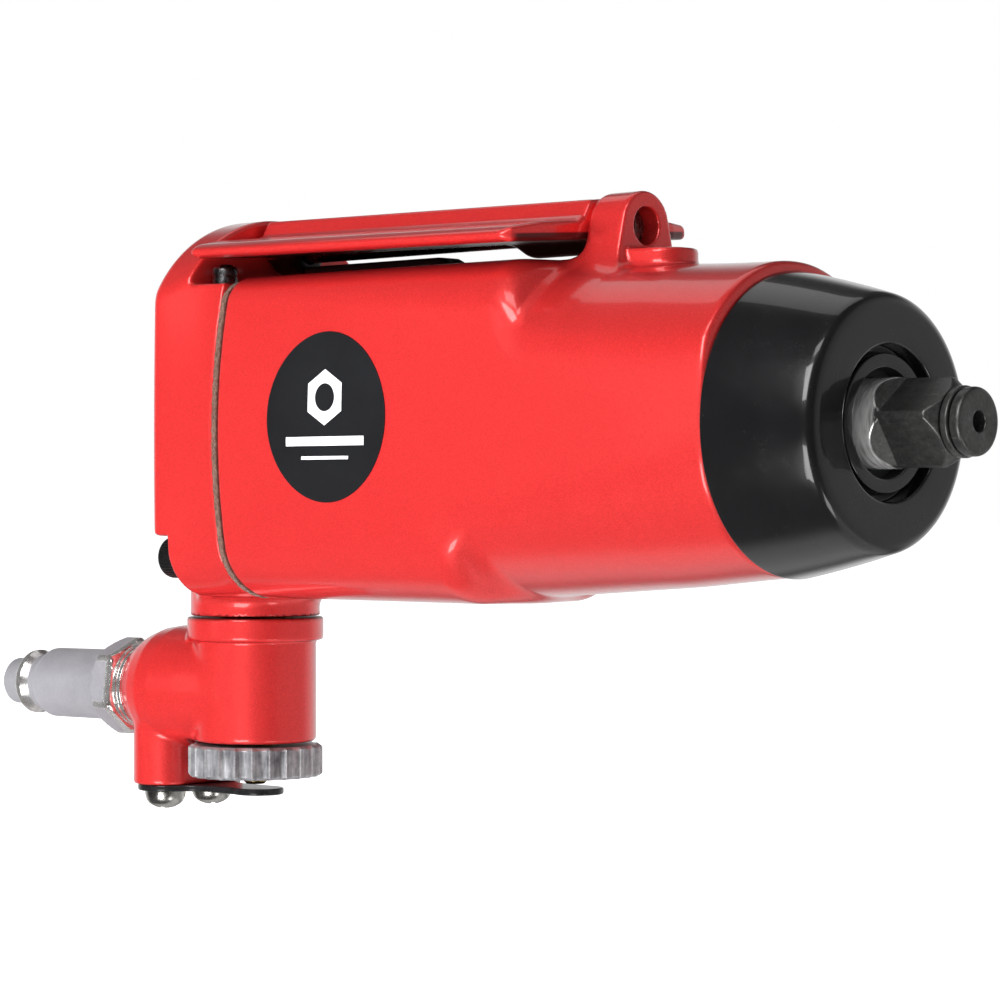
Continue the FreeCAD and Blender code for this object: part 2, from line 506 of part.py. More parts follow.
# valve stems: domed head over the ledge, poppet collar below the bushing
STEM_TOP = {-1: 27.2, 1: 28.0}
for label, sy in (("forward_valve_stem", 1), ("reverse_valve_stem", -1)):
    top = STEM_TOP[sy]
    lathe(label, [(0, 4.0), (2.7, 4.0), (2.7, 6.5), (1.5, 7.6), (1.5, 10.6), (Q("stem_rad"), 11.2),
                  (Q("stem_rad"), top - 0.9), (1.72, top - 0.45), (1.1, top - 0.12), (0, top)],
          FreeCAD.Placement(V(P["valve_x"], sy * P["valve_y"], 0), FreeCAD.Rotation()))
for side, sy in (("forward", 1), ("reverse", -1)):
    place = FreeCAD.Placement(V(P["valve_x"], sy * P["valve_y"], 0), FreeCAD.Rotation())
    ring(side + "_valve_bushing", Q("stem_rad", 0.05), Q("valve_bush_rad"), 12.6, 22.4, place)
    helix = doc.addObject("Part::Helix", side + "_coil_path")
    helix.Pitch = 1.55
    helix.Height = 8.6
    helix.Radius = 2.2
    wire_c = doc.addObject("Part::Circle", side + "_coil_wire")
    wire_c.Radius = 0.32
    wire_c.Placement = FreeCAD.Placement(V(2.2, 0, 0), FreeCAD.Rotation(V(1, 0, 0), 90))
    sw = doc.addObject("Part::Sweep", "b_%s_valve_spring" % side)
    sw.Sections = [wire_c]
    sw.Spine = (helix, ["Edge1"])
    sw.Solid = True
    sw.Frenet = True
    sw.Label = side + "_valve_spring"
    sw.Placement = FreeCAD.Placement(V(P["valve_x"], sy * P["valve_y"], -5.4), FreeCAD.Rotation())
    NODES.append(sw)

# ================================================================ swivel inlet
sx = P["swivel_x"]
place_s = FreeCAD.Placement(V(sx, 0, 0), FreeCAD.Rotation())
pst = lathe("swivel_post", [
    (3.2, -17.2), (Q("post_rad"), -17.2), (Q("post_rad"), -29.9), (5.9, -30.0), (5.9, -32.4),
    (5.0, -32.4), (5.0, -34.4), (5.9, -34.4), (5.9, -36.6), (5.0, -36.6), (5.0, -38.6), (5.9, -38.6),
    (5.9, -45.4), (5.2, -45.4), (5.2, -46.5), (5.9, -46.5), (5.9, -47.0), (3.2, -47.0)], place_s)
pocket(pst, circle(pst, "YZ_Plane", 0, Q("inlet_height"), 1.9, -10.0), 30.0, reverse=True)
swr = body("swivel_orings", place_s)
turn(swr, poly(swr, "XZ_Plane", [(5.0, -34.3), (5.98, -34.3), (5.98, -32.5), (5.0, -32.5)]))
turn(swr, poly(swr, "XZ_Plane", [(5.0, -38.5), (5.98, -38.5), (5.98, -36.7), (5.0, -36.7)]))
sn = ring("swivel_snap_ring", 5.2, 7.1, -46.45, -45.45, place_s)
pocket(sn, box(sn, "XY_Plane", 3.0, -1.0, 9.0, 1.0, -48.0), 4.0, reverse=True)

sb = lathe("swivel_body", [
    (0, -30.2), (Q("collar_out_rad", -0.4), -30.2), (Q("collar_out_rad"), -30.6), (Q("collar_out_rad"), -33.5),
    (Q("collar_out_rad", -0.3), -33.8), (Q("swivel_rad"), -33.8), (Q("swivel_rad"), -50.3),
    (Q("swivel_rad", -0.3), -50.6), (0, -50.6)], place_s)
# inlet boss: turned form about the inlet axis, built on its own turned body and fused below
bt = math.radians(P["inlet_turn"])
inlet_rot = FreeCAD.Rotation(V(0, 0, 1), 180 + P["inlet_turn"]).multiply(FreeCAD.Rotation(V(0, 1, 0), 90))
place_in = FreeCAD.Placement(V(sx, 0, P["inlet_height"]), inlet_rot)
boss = doc.addObject("PartDesign::Body", "inlet_boss")
boss.Placement = place_in
turn(boss, poly(boss, "XZ_Plane", [
    (0, 0.5), (Q("inlet_boss_rad", -1.2), 0.5), (Q("inlet_boss_rad"), 9.0), (Q("inlet_boss_rad"), 14.5),
    (10.4, 16.9), (9.5, 19.2), (8.3, 21.2), (7.2, 22.4), (7.2, 22.8), (0, 22.8)]))
col = doc.addObject("PartDesign::Body", "screw_column")
col.Placement = place_s
cs = sketch(col, "XY_Plane", -58.3)
cpts = []
for k in range(13):
    t = math.radians(180 * k / 12.0)
    cpts.append((Q("column_x", P["column_rad"] * math.cos(t)), Q("column_y", P["column_rad"] * math.sin(t))))
for k in range(13):
    t = math.radians(180 + 180 * k / 12.0)
    cpts.append((Q("column_x", P["column_rad"] * math.cos(t)), Q("column_y", P["column_rad"] * math.sin(t), -1)))
add_poly(cs, cpts)
pad(col, cs, 17.0)
NODES.remove(sb)
sb.Label = "swivel_barrel"
fz = doc.addObject("Part::MultiFuse", "swivel_fuse")
fz.Shapes = [sb, boss, col]
cutters = []


def cyl(name, r, length, placement):
    c = doc.addObject("Part::Cylinder", name)
    c.Radius = num(r)
    bind(c, "Radius", r)
    c.Height = length
    c.Placement = placement
    cutters.append(c)
    return c


cyl("cut_post", Q("post_rad"), 15.2, FreeCAD.Placement(V(sx, 0, -45.2), FreeCAD.Rotation()))
cyl("cut_chamber", 8.0, 5.5, FreeCAD.Placement(V(sx, 0, -50.65), FreeCAD.Rotation()))
cyl("cut_knob_clearance", 11.4, 7.7, FreeCAD.Placement(V(sx, 0, -58.3), FreeCAD.Rotation()))
cyl("cut_thread", 5.2, 15.0, place_in.multiply(FreeCAD.Placement(V(0, 0, 9.0), FreeCAD.Rotation())))
cyl("cut_port", 3.2, 9.0, place_in.multiply(FreeCAD.Placement(V(0, 0, 2.0), FreeCAD.Rotation())))
for i, sy in enumerate((1, -1)):
    cyl("cut_plate_screw_%d" % i, 1.5, 8.5,
        FreeCAD.Placement(V(sx + P["column_x"], sy * P["column_y"], -58.5), FreeCAD.Rotation()))
cf = doc.addObject("Part::MultiFuse", "swivel_cuts")
cf.Shapes = cutters
ct = doc.addObject("Part::Cut", "b_swivel_body")
ct.Base = fz
ct.Tool = cf
ct.Label = "swivel_body"
NODES.append(ct)
doc.recompute()

ring("regulator_bushing", 3.2, 8.0, -50.6, -47.8, place_s)
# regulator spool: side-ported spindle turned by the knob
sp = lathe("regulator_spool", [
    (0, -57.7), (1.5, -57.7), (1.9, -57.3), (1.9, -56.4), (2.4, -56.4), (2.4, -51.1), (3.1, -51.1),
    (3.1, -38.4), (0, -38.4)], place_s)
pocket(sp, circle(sp, "YZ_Plane", 0, Q("inlet_height"), 1.6, 10.0), 30.0)
# knob: 24 flutes
kb = lathe("regulator_knob", [
    (2.4, -56.4), (Q("knob_rad", -0.5), -56.4), (Q("knob_rad"), -55.9), (Q("knob_rad"), -51.6),
    (Q("knob_rad", -0.5), -51.1), (2.4, -51.1)], place_s)
fl = circle(kb, "XY_Plane", Q("knob_rad", 0.62), 0, 1.15, -60.0)
fp = pocket(kb, fl, 12.0, reverse=True)
pp = kb.newObject("PartDesign::PolarPattern", "flutes")
pp.Originals = [fp]
pp.Axis = (fl, ["N_Axis"])
pp.Angle = 360.0
pp.Occurrences = 24
kb.Tip = pp
doc.recompute()

# regulator plate: column footprint with a tongue under the knob
rp = body("regulator_plate", place_s)
ps = sketch(rp, "XY_Plane", -59.4)
outline = []
for k in range(7):
    t = math.radians(100 + 80 * k / 6.0)
    outline.append((-16.8 + 5.3 * math.cos(t), 5.2 + 5.3 * math.sin(t)))
for k in range(7):
    t = math.radians(180 + 80 * k / 6.0)
    outline.append((-16.8 + 5.3 * math.cos(t), -5.2 + 5.3 * math.sin(t)))
outline += [(-12.6, -8.6), (-9.5, -4.6)]
for k in range(9):
    t = math.radians(-90 + 180 * k / 8.0)
    outline.append((2.0 + 4.3 * math.cos(t), 4.3 * math.sin(t)))
outline += [(-9.5, 4.6), (-12.6, 8.6)]
add_poly(ps, outline)
pad(rp, ps, Q("plate_thk"))
pocket(rp, circles(rp, "XY_Plane", [(Q("column_x"), Q("column_y"), 1.6), (Q("column_x"), Q("column_y", 0, -1), 1.6)],
                   -65.0), 12.0, reverse=True)

# two pan-head screws
pss = body("plate_screws", place_s)
pads = [(Q("column_x"), Q("column_y"), 1.45), (Q("column_x"), Q("column_y", 0, -1), 1.45)]
pad(pss, circles(pss, "XY_Plane", pads, -61.0), 9.6)
heads = [(Q("column_x"), Q("column_y", 0, s), Q("plate_screw_rad")) for s in (1, -1)]
pad(pss, circles(pss, "XY_Plane", heads, -59.4), 2.5, reverse=True)
soften(pss, 1.5, lambda e: e.Curve.TypeId == "Part::GeomCircle" and abs(e.Curve.Center.z + 61.9) < 0.01,
       solids=2)
for sy in (1, -1):
    cy = sy * P["column_y"]
    cr = sketch(pss, "XY_Plane", -63.0)
    x = P["column_x"]
    a, w = 1.8, 0.38
    add_poly(cr, [(x - a, cy - w), (x - w, cy - w), (x - w, cy - a), (x + w, cy - a), (x + w, cy - w),
                  (x + a, cy - w), (x + a, cy + w), (x + w, cy + w), (x + w, cy + a), (x - w, cy + a),
                  (x - w, cy + w), (x - a, cy + w)])
    pocket(pss, cr, 2.5, reverse=True)

# inlet plug: quick-connect nipple with hexagon
pl = lathe("inlet_plug", [
    (Q("plug_bore_rad"), 12.2), (4.9, 12.2), (5.2, 12.8), (5.2, 22.8), (7.0, 22.8), (7.0, 24.6), (6.5, 24.8),
    (6.5, 33.2), (Q("plug_body_rad"), 34.2), (Q("plug_body_rad"), 44.6), (4.7, 46.4), (4.7, 47.4),
    (Q("plug_ring_rad"), 48.6), (Q("plug_ring_rad"), 49.4), (Q("plug_nose_rad"), 51.2),
    (Q("plug_nose_rad"), 53.8), (Q("plug_nose_rad", -0.8), Q("plug_tip")), (Q("plug_bore_rad"), Q("plug_tip"))],
    place_in)
hx = []
for k in range(6):
    t = math.radians(60 * k + 4)
    m = 1.0 / math.sqrt(3.0)
    hx.append((Q("plug_hex_af", 0, m * math.cos(t)), Q("plug_hex_af", 0, m * math.sin(t))))
pad(pl, poly(pl, "XY_Plane", hx, 24.8), 8.0)
turn(pl, poly(pl, "XZ_Plane", [(7.4, 24.7), (7.4, 24.8), (8.5, 25.5), (9.5, 25.5), (9.5, 24.7)]), "Groove")
turn(pl, poly(pl, "XZ_Plane", [(6.3, 33.4), (6.3, 33.0), (8.5, 29.6), (9.5, 29.6), (9.5, 33.4)]), "Groove")
pocket(pl, circle(pl, "XY_Plane", 0, 0, Q("plug_bore_rad"), 0.0), 80.0, reverse=True)
sc = lathe("inlet_screen", [(4.2, 9.1), (5.1, 9.1), (5.1, 11.9), (4.7, 11.9), (4.7, 9.5), (4.2, 9.5)], place_in)
turn(sc, poly(sc, "XZ_Plane", [(0, 9.1), (4.3, 9.1), (4.3, 9.5), (0, 9.5)]))

# round badge on the near side face
bd_place = FreeCAD.Placement(V(P["badge_x"], -P["body_half"], P["badge_z"]), FreeCAD.Rotation(V(1, 0, 0), 90))
bd = body("side_badge", bd_place)
pad(bd, circle(bd, "XY_Plane", 0, 0, Q("badge_rad"), 0.0), 0.15)

# ================================================================ checks and export
doc.recompute()
problems = []
for o in doc.Objects:
    if "Invalid" in o.State or "Error" in o.State:
        problems.append("%s (%s): %s" % (o.Name, o.Label, o.State))
for n in NODES:
    if n.Shape.isNull() or not n.Shape.isValid():
        problems.append("shape of %s is null or invalid" % n.Label)
if problems:
    for p in problems:
        print("PROBLEM", p)
    raise SystemExit(1)
os.makedirs("parts", exist_ok=True)
for n in NODES:
    n.Shape.exportStep("parts/%s.step" % n.Label)
    bb = n.Shape.BoundBox
    print("%-26s %2d solids %9.1f mm3  x %.1f..%.1f y %.1f..%.1f z %.1f..%.1f" % (
        n.Label, len(n.Shape.Solids), n.Shape.Volume, bb.XMin, bb.XMax, bb.YMin, bb.YMax, bb.ZMin, bb.ZMax))
print(len(NODES), "nodes")
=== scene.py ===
"""Impact wrench: detailed visual meshes, materials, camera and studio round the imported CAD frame.
All modelling numbers are millimetres in the row frame and become metres when a mesh is made."""
import json
import math

import bmesh
import bpy
import numpy as np
from mathutils import Matrix, Vector


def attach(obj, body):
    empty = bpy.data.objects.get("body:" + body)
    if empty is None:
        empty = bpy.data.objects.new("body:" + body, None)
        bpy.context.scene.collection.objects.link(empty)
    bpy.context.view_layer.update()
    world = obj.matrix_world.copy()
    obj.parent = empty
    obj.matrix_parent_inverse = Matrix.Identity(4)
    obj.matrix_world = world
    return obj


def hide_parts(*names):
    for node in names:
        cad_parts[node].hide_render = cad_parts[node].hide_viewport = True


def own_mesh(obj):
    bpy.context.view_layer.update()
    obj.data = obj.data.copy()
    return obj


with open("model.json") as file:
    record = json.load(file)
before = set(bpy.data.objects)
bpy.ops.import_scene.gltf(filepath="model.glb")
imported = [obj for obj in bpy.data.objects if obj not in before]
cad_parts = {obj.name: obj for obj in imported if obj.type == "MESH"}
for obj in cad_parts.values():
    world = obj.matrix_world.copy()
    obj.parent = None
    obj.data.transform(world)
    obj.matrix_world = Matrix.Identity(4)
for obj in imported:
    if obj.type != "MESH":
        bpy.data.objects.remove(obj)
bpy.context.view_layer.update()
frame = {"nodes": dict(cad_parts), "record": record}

MM = 0.001
scene = bpy.context.scene
NODES = frame["nodes"]


# ------------------------------------------------------------------ field helpers
def smin(a, b, k):
    h = np.clip(0.5 + 0.5 * (b - a) / k, 0.0, 1.0)
    return b * (1 - h) + a * h - k * h * (1 - h)


def smax(a, b, k):
    return -smin(-a, -b, k)


def sstep(a, b, t):
    u = np.clip((t - a) / (b - a), 0.0, 1.0)
    return u * u * (3 - 2 * u)


def seg(*parts):
    """Grid stations: seg((start, end, step), ...)."""
    out = []
    for a, b, s in parts:
        n = max(1, int(round(abs(b - a) / s)))
        out.append(np.linspace(a, b, n, endpoint=False))
    out.append(np.array([parts[-1][1]]))
    return np.concatenate(out)


def table(points, width, lo, hi, step=0.05):
    """A smoothed piecewise-linear function: (xs, ys) for np.interp."""
    xs = np.arange(lo - 2 * width, hi + 2 * width + step, step)
    px, py = zip(*points)
    ys = np.interp(xs, px, py)
    n = max(3, int(width / step) | 1)
    k = np.hanning(n + 2)[1:-1]
    k /= k.sum()
    ys = np.convolve(np.pad(ys, n // 2, mode="edge"), k, mode="valid")
    return xs, ys


def hash_noise(u, v, seed=0.0):
    """Smooth repeatable noise of two coordinates, about -1..1."""
    out = np.zeros_like(u)
    for i, (fu, fv, ph, am) in enumerate(((1.0, 1.31, 0.3, 0.5), (2.17, -1.63, 1.9, 0.3), (3.71, 4.13, 4.2, 0.2),
                                          (-6.1, 7.3, 2.2, 0.14))):
        out += am * np.sin(fu * u + 1.7 * np.sin(fv * v + ph + seed) + ph * 2.1 + seed * (i + 1))
    return out


def surface_nets(func, X, Y, Z, steps=4, reach=0.35):
    """Quads of the zero surface of func on a rectilinear grid, its points moved on to the surface."""
    gx, gy, gz = np.meshgrid(X, Y, Z, indexing="ij")
    f = func(gx, gy, gz)
    del gx, gy, gz
    s = f < 0
    nx, ny, nz = f.shape
    c = np.zeros((nx - 1, ny - 1, nz - 1), np.int8)
    for i in (0, 1):
        for j in (0, 1):
            for k in (0, 1):
                c += s[i:nx - 1 + i, j:ny - 1 + j, k:nz - 1 + k]
    ai, aj, ak = np.nonzero((c > 0) & (c < 8))
    idx = -np.ones(c.shape, np.int64)
    idx[ai, aj, ak] = np.arange(len(ai))
    acc = np.zeros((len(ai), 3))
    cnt = np.zeros(len(ai))
    for axis in range(3):
        for a in (0, 1):
            for b in (0, 1):
                o0 = [0, 0, 0]
                o1 = [0, 0, 0]
                others = [q for q in range(3) if q != axis]
                o0[others[0]], o0[others[1]] = a, b
                o1[others[0]], o1[others[1]] = a, b
                o1[axis] = 1
                f0 = f[ai + o0[0], aj + o0[1], ak + o0[2]]
                f1 = f[ai + o1[0], aj + o1[1], ak + o1[2]]
                m = (f0 < 0) != (f1 < 0)
                t = np.where(m, f0 / np.where(m, f0 - f1, 1.0), 0.0)
                p0 = np.stack([X[ai + o0[0]], Y[aj + o0[1]], Z[ak + o0[2]]], 1)
                p1 = np.stack([X[ai + o1[0]], Y[aj + o1[1]], Z[ak + o1[2]]], 1)
                acc += np.where(m[:, None], p0 + (p1 - p0) * t[:, None], 0.0)
                cnt += m
    v = acc / cnt[:, None]
    quads = []
    m = s[:-1, 1:-1, 1:-1] != s[1:, 1:-1, 1:-1]
    i, j, k = np.nonzero(m)
    inside = s[:-1, 1:-1, 1:-1][i, j, k]
    q = np.stack([idx[i, j, k], idx[i, j + 1, k], idx[i, j + 1, k + 1], idx[i, j, k + 1]], 1)
    quads.append(np.where(inside[:, None], q, q[:, ::-1]))
    m = s[1:-1, :-1, 1:-1] != s[1:-1, 1:, 1:-1]
    i, j, k = np.nonzero(m)
    inside = s[1:-1, :-1, 1:-1][i, j, k]
    q = np.stack([idx[i, j, k], idx[i, j, k + 1], idx[i + 1, j, k + 1], idx[i + 1, j, k]], 1)
    quads.append(np.where(inside[:, None], q, q[:, ::-1]))
    m = s[1:-1, 1:-1, :-1] != s[1:-1, 1:-1, 1:]
    i, j, k = np.nonzero(m)
    inside = s[1:-1, 1:-1, :-1][i, j, k]
    q = np.stack([idx[i, j, k], idx[i + 1, j, k], idx[i + 1, j + 1, k], idx[i, j + 1, k]], 1)
    quads.append(np.where(inside[:, None], q, q[:, ::-1]))
    quads = np.concatenate(quads)

    def grad(p, h=0.03):
        g = np.empty_like(p)
        for a in range(3):
            d = np.zeros(3)
            d[a] = h
            up, dn = p + d, p - d
            g[:, a] = (func(up[:, 0], up[:, 1], up[:, 2]) - func(dn[:, 0], dn[:, 1], dn[:, 2])) / (2 * h)
        return g

    start = v.copy()
    for _ in range(steps):
        g = grad(v)
        f0 = func(v[:, 0], v[:, 1], v[:, 2])
        v = v - g * (np.clip(f0, -0.3, 0.3) / np.maximum((g * g).sum(1), 0.3))[:, None]
        off = v - start
        ln = np.linalg.norm(off, axis=1)
        v = start + off * np.minimum(1.0, reach / np.maximum(ln, 1e-9))[:, None]
    g = grad(v)
    n = g / np.maximum(np.linalg.norm(g, axis=1), 1e-6)[:, None]
    return v, quads, n


def mesh_object(name, verts, faces, body, mat, replaces=(), normals=None, smooth=True, attrs=None):
    me = bpy.data.meshes.new(name)
    verts = np.asarray(verts, float)
    if isinstance(faces, np.ndarray):
        nf, w = faces.shape
        me.vertices.add(len(verts))
        me.vertices.foreach_set("co", (verts * MM).astype(np.float32).ravel())
        me.loops.add(nf * w)
        me.loops.foreach_set("vertex_index", faces.astype(np.int32).ravel())
        me.polygons.add(nf)
        me.polygons.foreach_set("loop_start", np.arange(0, nf * w, w, dtype=np.int32))
        me.update(calc_edges=True)
    else:
        me.from_pydata([tuple(p) for p in verts * MM], [], faces)
    me.validate()
    me.polygons.foreach_set("use_smooth", np.full(len(me.polygons), bool(smooth)))
    if attrs:
        for key, val in attrs.items():
            at = me.attributes.new(key, "FLOAT", "POINT")
            at.data.foreach_set("value", np.asarray(val, np.float32))
    me.update()
    if normals is not None and len(normals) == len(me.vertices):
        me.normals_split_custom_set_from_vertices([tuple(q) for q in normals])
    ob = bpy.data.objects.new(name, me)
    scene.collection.objects.link(ob)
    me.materials.append(mat)
    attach(ob, body)
    if replaces:
        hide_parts(*replaces)
    return ob


def field_piece(name, func, X, Y, Z, body, mat, replaces=(), transform=None, probe=0.5, steps=4, reach=0.35, dark=None):
    v, q, n = surface_nets(func, X, Y, Z, steps, reach)
    inn = v - n * probe
    out = v + n * probe
    edge = np.clip((func(inn[:, 0], inn[:, 1], inn[:, 2]) + probe) / probe, 0, 1)
    # concavity around each point; red paint uses it as painted shade in corners
    cav = np.clip((probe - func(out[:, 0], out[:, 1], out[:, 2])) / probe, 0, 1)
    attrs = {"edge": edge, "cav": cav}
    # dark: an optional mask of painted shade for surfaces that lie in shadow
    if dark is not None:
        attrs["dark"] = dark(v[:, 0], v[:, 1], v[:, 2])
    if transform is not None:
        R, t = transform
        v = v @ R.T + t
        n = n @ R.T
    return mesh_object(name, v, q, body, mat, replaces, n, True, attrs)


def round_profile(points, radii, steps=5):
    """A closed (r, l) profile with its corners rounded: radii gives one radius per point, 0 for none."""
    out = []
    n = len(points)
    for i in range(n):
        p = np.array(points[i], float)
        rad = radii[i] if i < len(radii) else 0
        a = np.array(points[i - 1], float) - p
        b = np.array(points[(i + 1) % n], float) - p
        la, lb = np.linalg.norm(a), np.linalg.norm(b)
        if rad <= 0 or la < 1e-6 or lb < 1e-6:
            out.append((p[0], p[1]))
            continue
        a /= la
        b /= lb
        cosang = np.clip(np.dot(a, b), -1, 1)
        ang = math.acos(cosang)
        d = min(rad / max(math.tan(ang / 2), 1e-6), 0.49 * la, 0.49 * lb)
        r = d * math.tan(ang / 2)
        bis = a + b
        bl = np.linalg.norm(bis)
        if bl < 1e-6:
            out.append((p[0], p[1]))
            continue
        cen = p + bis / bl * (r / math.sin(ang / 2))
        s0, s1 = p + a * d - cen, p + b * d - cen
        t0, t1 = math.atan2(s0[1], s0[0]), math.atan2(s1[1], s1[0])
        dt = (t1 - t0 + math.pi) % (2 * math.pi) - math.pi
        for k in range(steps + 1):
            t = t0 + dt * k / steps
            out.append((cen[0] + r * math.cos(t), cen[1] + r * math.sin(t)))
    return out


def densify(profile, longest):
    out = []
    n = len(profile)
    for i in range(n):
        a, b = np.array(profile[i]), np.array(profile[(i + 1) % n])
        k = max(1, int(math.ceil(np.linalg.norm(b - a) / longest)))
        for j in range(k):
            out.append(tuple(a + (b - a) * j / k))
    return out


def spin(profile, count, axis="-x", origin=(0, 0, 0), radial=None, start=0.0):
    """Revolves a closed (r, l) profile; radial(r, l, theta) may change a ring's radius. Returns verts, quads.
    axis "-x": l runs towards -X. axis "z": l is a height. A 3x3 matrix: columns are the two radial axes and the axis."""
    prof = np.array(profile, float)
    th = start + np.linspace(0, 2 * math.pi, count, endpoint=False)
    m = len(prof)
    R = np.repeat(prof[:, 0][:, None], count, 1)
    L = np.repeat(prof[:, 1][:, None], count, 1)
    T = np.repeat(th[None, :], m, 0)
    if radial is not None:
        R = radial(R, L, T)
    a, b, l = R * np.cos(T), R * np.sin(T), L
    if isinstance(axis, str) and axis == "-x":
        v = np.stack([-l, a, b], 2)
    elif isinstance(axis, str) and axis == "z":
        v = np.stack([a, b, l], 2)
    else:
        M = np.array(axis)
        v = a[..., None] * M[:, 0] + b[..., None] * M[:, 1] + l[..., None] * M[:, 2]
    v = v.reshape(-1, 3) + np.array(origin, float)
    i = np.arange(m)
    j = np.arange(count)
    I, J = np.meshgrid(i, j, indexing="ij")
    I2, J2 = (I + 1) % m, (J + 1) % count
    q = np.stack([I * count + J, I2 * count + J, I2 * count + J2, I * count + J2], -1).reshape(-1, 4)
    # make the faces look outwards
    p = v[q]
    vol = np.einsum("ij,ij->i", p[:, 0], np.cross(p[:, 1], p[:, 2])).sum() + \
        np.einsum("ij,ij->i", p[:, 0], np.cross(p[:, 2], p[:, 3])).sum()
    if vol < 0:
        q = q[:, ::-1]
    return v, q


def weighted(ob, angle=35):
    """Sharp edges by angle, so flat faces next to tight bevels stay flat."""
    me = ob.data
    bm = bmesh.new()
    bm.from_mesh(me)
    bmesh.ops.remove_doubles(bm, verts=bm.verts, dist=1e-7)
    bmesh.ops.dissolve_degenerate(bm, edges=bm.edges, dist=1e-7)
    for e in bm.edges:
        if len(e.link_faces) == 2 and e.calc_face_angle(0.0) > math.radians(angle):
            e.smooth = False
    bm.to_mesh(me)
    bm.free()
    me.update()
    return ob


# ------------------------------------------------------------------ materials
class Mat:
    """A small builder for node materials."""

    def __init__(self, name):
        self.m = bpy.data.materials.new(name)
        self.m.use_nodes = True
        self.t = self.m.node_tree
        self.b = self.t.nodes["Principled BSDF"]
        co = self.t.nodes.new("ShaderNodeTexCoord")
        self.co = co.outputs["Object"]

    def link(self, a, b):
        self.t.links.new(a, b)

    def scaled(self, sx, sy, sz):
        n = self.t.nodes.new("ShaderNodeMapping")
        n.inputs["Scale"].default_value = (sx, sy, sz)
        self.link(self.co, n.inputs["Vector"])
        return n.outputs["Vector"]

    def noise(self, scale, detail=3.0, rough=0.55, vec=None, distort=0.0):
        n = self.t.nodes.new("ShaderNodeTexNoise")
        n.inputs["Scale"].default_value = scale
        n.inputs["Detail"].default_value = detail
        n.inputs["Roughness"].default_value = rough
        n.inputs["Distortion"].default_value = distort
        self.link(vec if vec is not None else self.co, n.inputs["Vector"])
        return n.outputs["Fac"]

    def cells(self, scale, out="Distance", feature="F1", vec=None):
        n = self.t.nodes.new("ShaderNodeTexVoronoi")
        n.feature = feature
        n.inputs["Scale"].default_value = scale
        self.link(vec if vec is not None else self.co, n.inputs["Vector"])
        return n.outputs[out]

    def ramp(self, fac, stops, interp="LINEAR"):
        n = self.t.nodes.new("ShaderNodeValToRGB")
        n.color_ramp.interpolation = interp
        el = n.color_ramp.elements
        while len(el) < len(stops):
            el.new(0.5)
        for e, (p, c) in zip(el, stops):
            e.position = p
            e.color = (c[0], c[1], c[2], 1.0) if hasattr(c, "__len__") else (c, c, c, 1.0)
        self.link(fac, n.inputs["Fac"])
        return n.outputs["Color"]

    def math(self, op, a, b=None, clamp=False):
        n = self.t.nodes.new("ShaderNodeMath")
        n.operation = op
        n.use_clamp = clamp
        for i, v in enumerate((a, b)):
            if v is None:
                continue
            if isinstance(v, (int, float)):
                n.inputs[i].default_value = v
            else:
                self.link(v, n.inputs[i])
        return n.outputs[0]

    def remap(self, v, a, b, c, d):
        n = self.t.nodes.new("ShaderNodeMapRange")
        for i, x in enumerate((a, b, c, d)):
            n.inputs[i + 1].default_value = x
        self.link(v, n.inputs[0])
        return n.outputs[0]

    def mix(self, fac, a, b, mode="MIX"):
        n = self.t.nodes.new("ShaderNodeMix")
        n.data_type = "RGBA"
        n.blend_type = mode
        for sock, v in ((n.inputs[0], fac), (n.inputs[6], a), (n.inputs[7], b)):
            if isinstance(v, (int, float)):
                sock.default_value = v
            elif isinstance(v, tuple):
                sock.default_value = (v[0], v[1], v[2], 1.0)
            else:
                self.link(v, sock)
        return n.outputs[2]

    def attr(self, name):
        n = self.t.nodes.new("ShaderNodeAttribute")
        n.attribute_name = name
        return n.outputs["Fac"]

    def facing(self, blend=0.5):
        n = self.t.nodes.new("ShaderNodeLayerWeight")
        n.inputs["Blend"].default_value = blend
        return n.outputs["Facing"]

    def axis(self, i):
        n = self.t.nodes.new("ShaderNodeSeparateXYZ")
        self.link(self.co, n.inputs[0])
        return n.outputs[i]

    def bump(self, height, strength=0.3, dist=0.0001, normal=None):
        n = self.t.nodes.new("ShaderNodeBump")
        n.inputs["Strength"].default_value = strength
        n.inputs["Distance"].default_value = dist
        self.link(height, n.inputs["Height"])
        if normal is not None:
            self.link(normal, n.inputs["Normal"])
        return n.outputs["Normal"]

    def set(self, **kw):
        names = {"color": "Base Color", "metal": "Metallic", "rough": "Roughness", "coat": "Coat Weight",
                 "coat_rough": "Coat Roughness", "normal": "Normal", "coat_normal": "Coat Normal",
                 "spec": "Specular IOR Level", "sheen": "Sheen Weight", "sheen_rough": "Sheen Roughness",
                 "aniso": "Anisotropic", "ior": "IOR", "sub": "Subsurface Weight", "coat_ior": "Coat IOR"}
        for k, v in kw.items():
            s = self.b.inputs[names[k]]
            if isinstance(v, (int, float)):
                s.default_value = v
            elif isinstance(v, tuple):
                s.default_value = (v[0], v[1], v[2], 1.0)
            else:
                self.link(v, s)
        return self.m


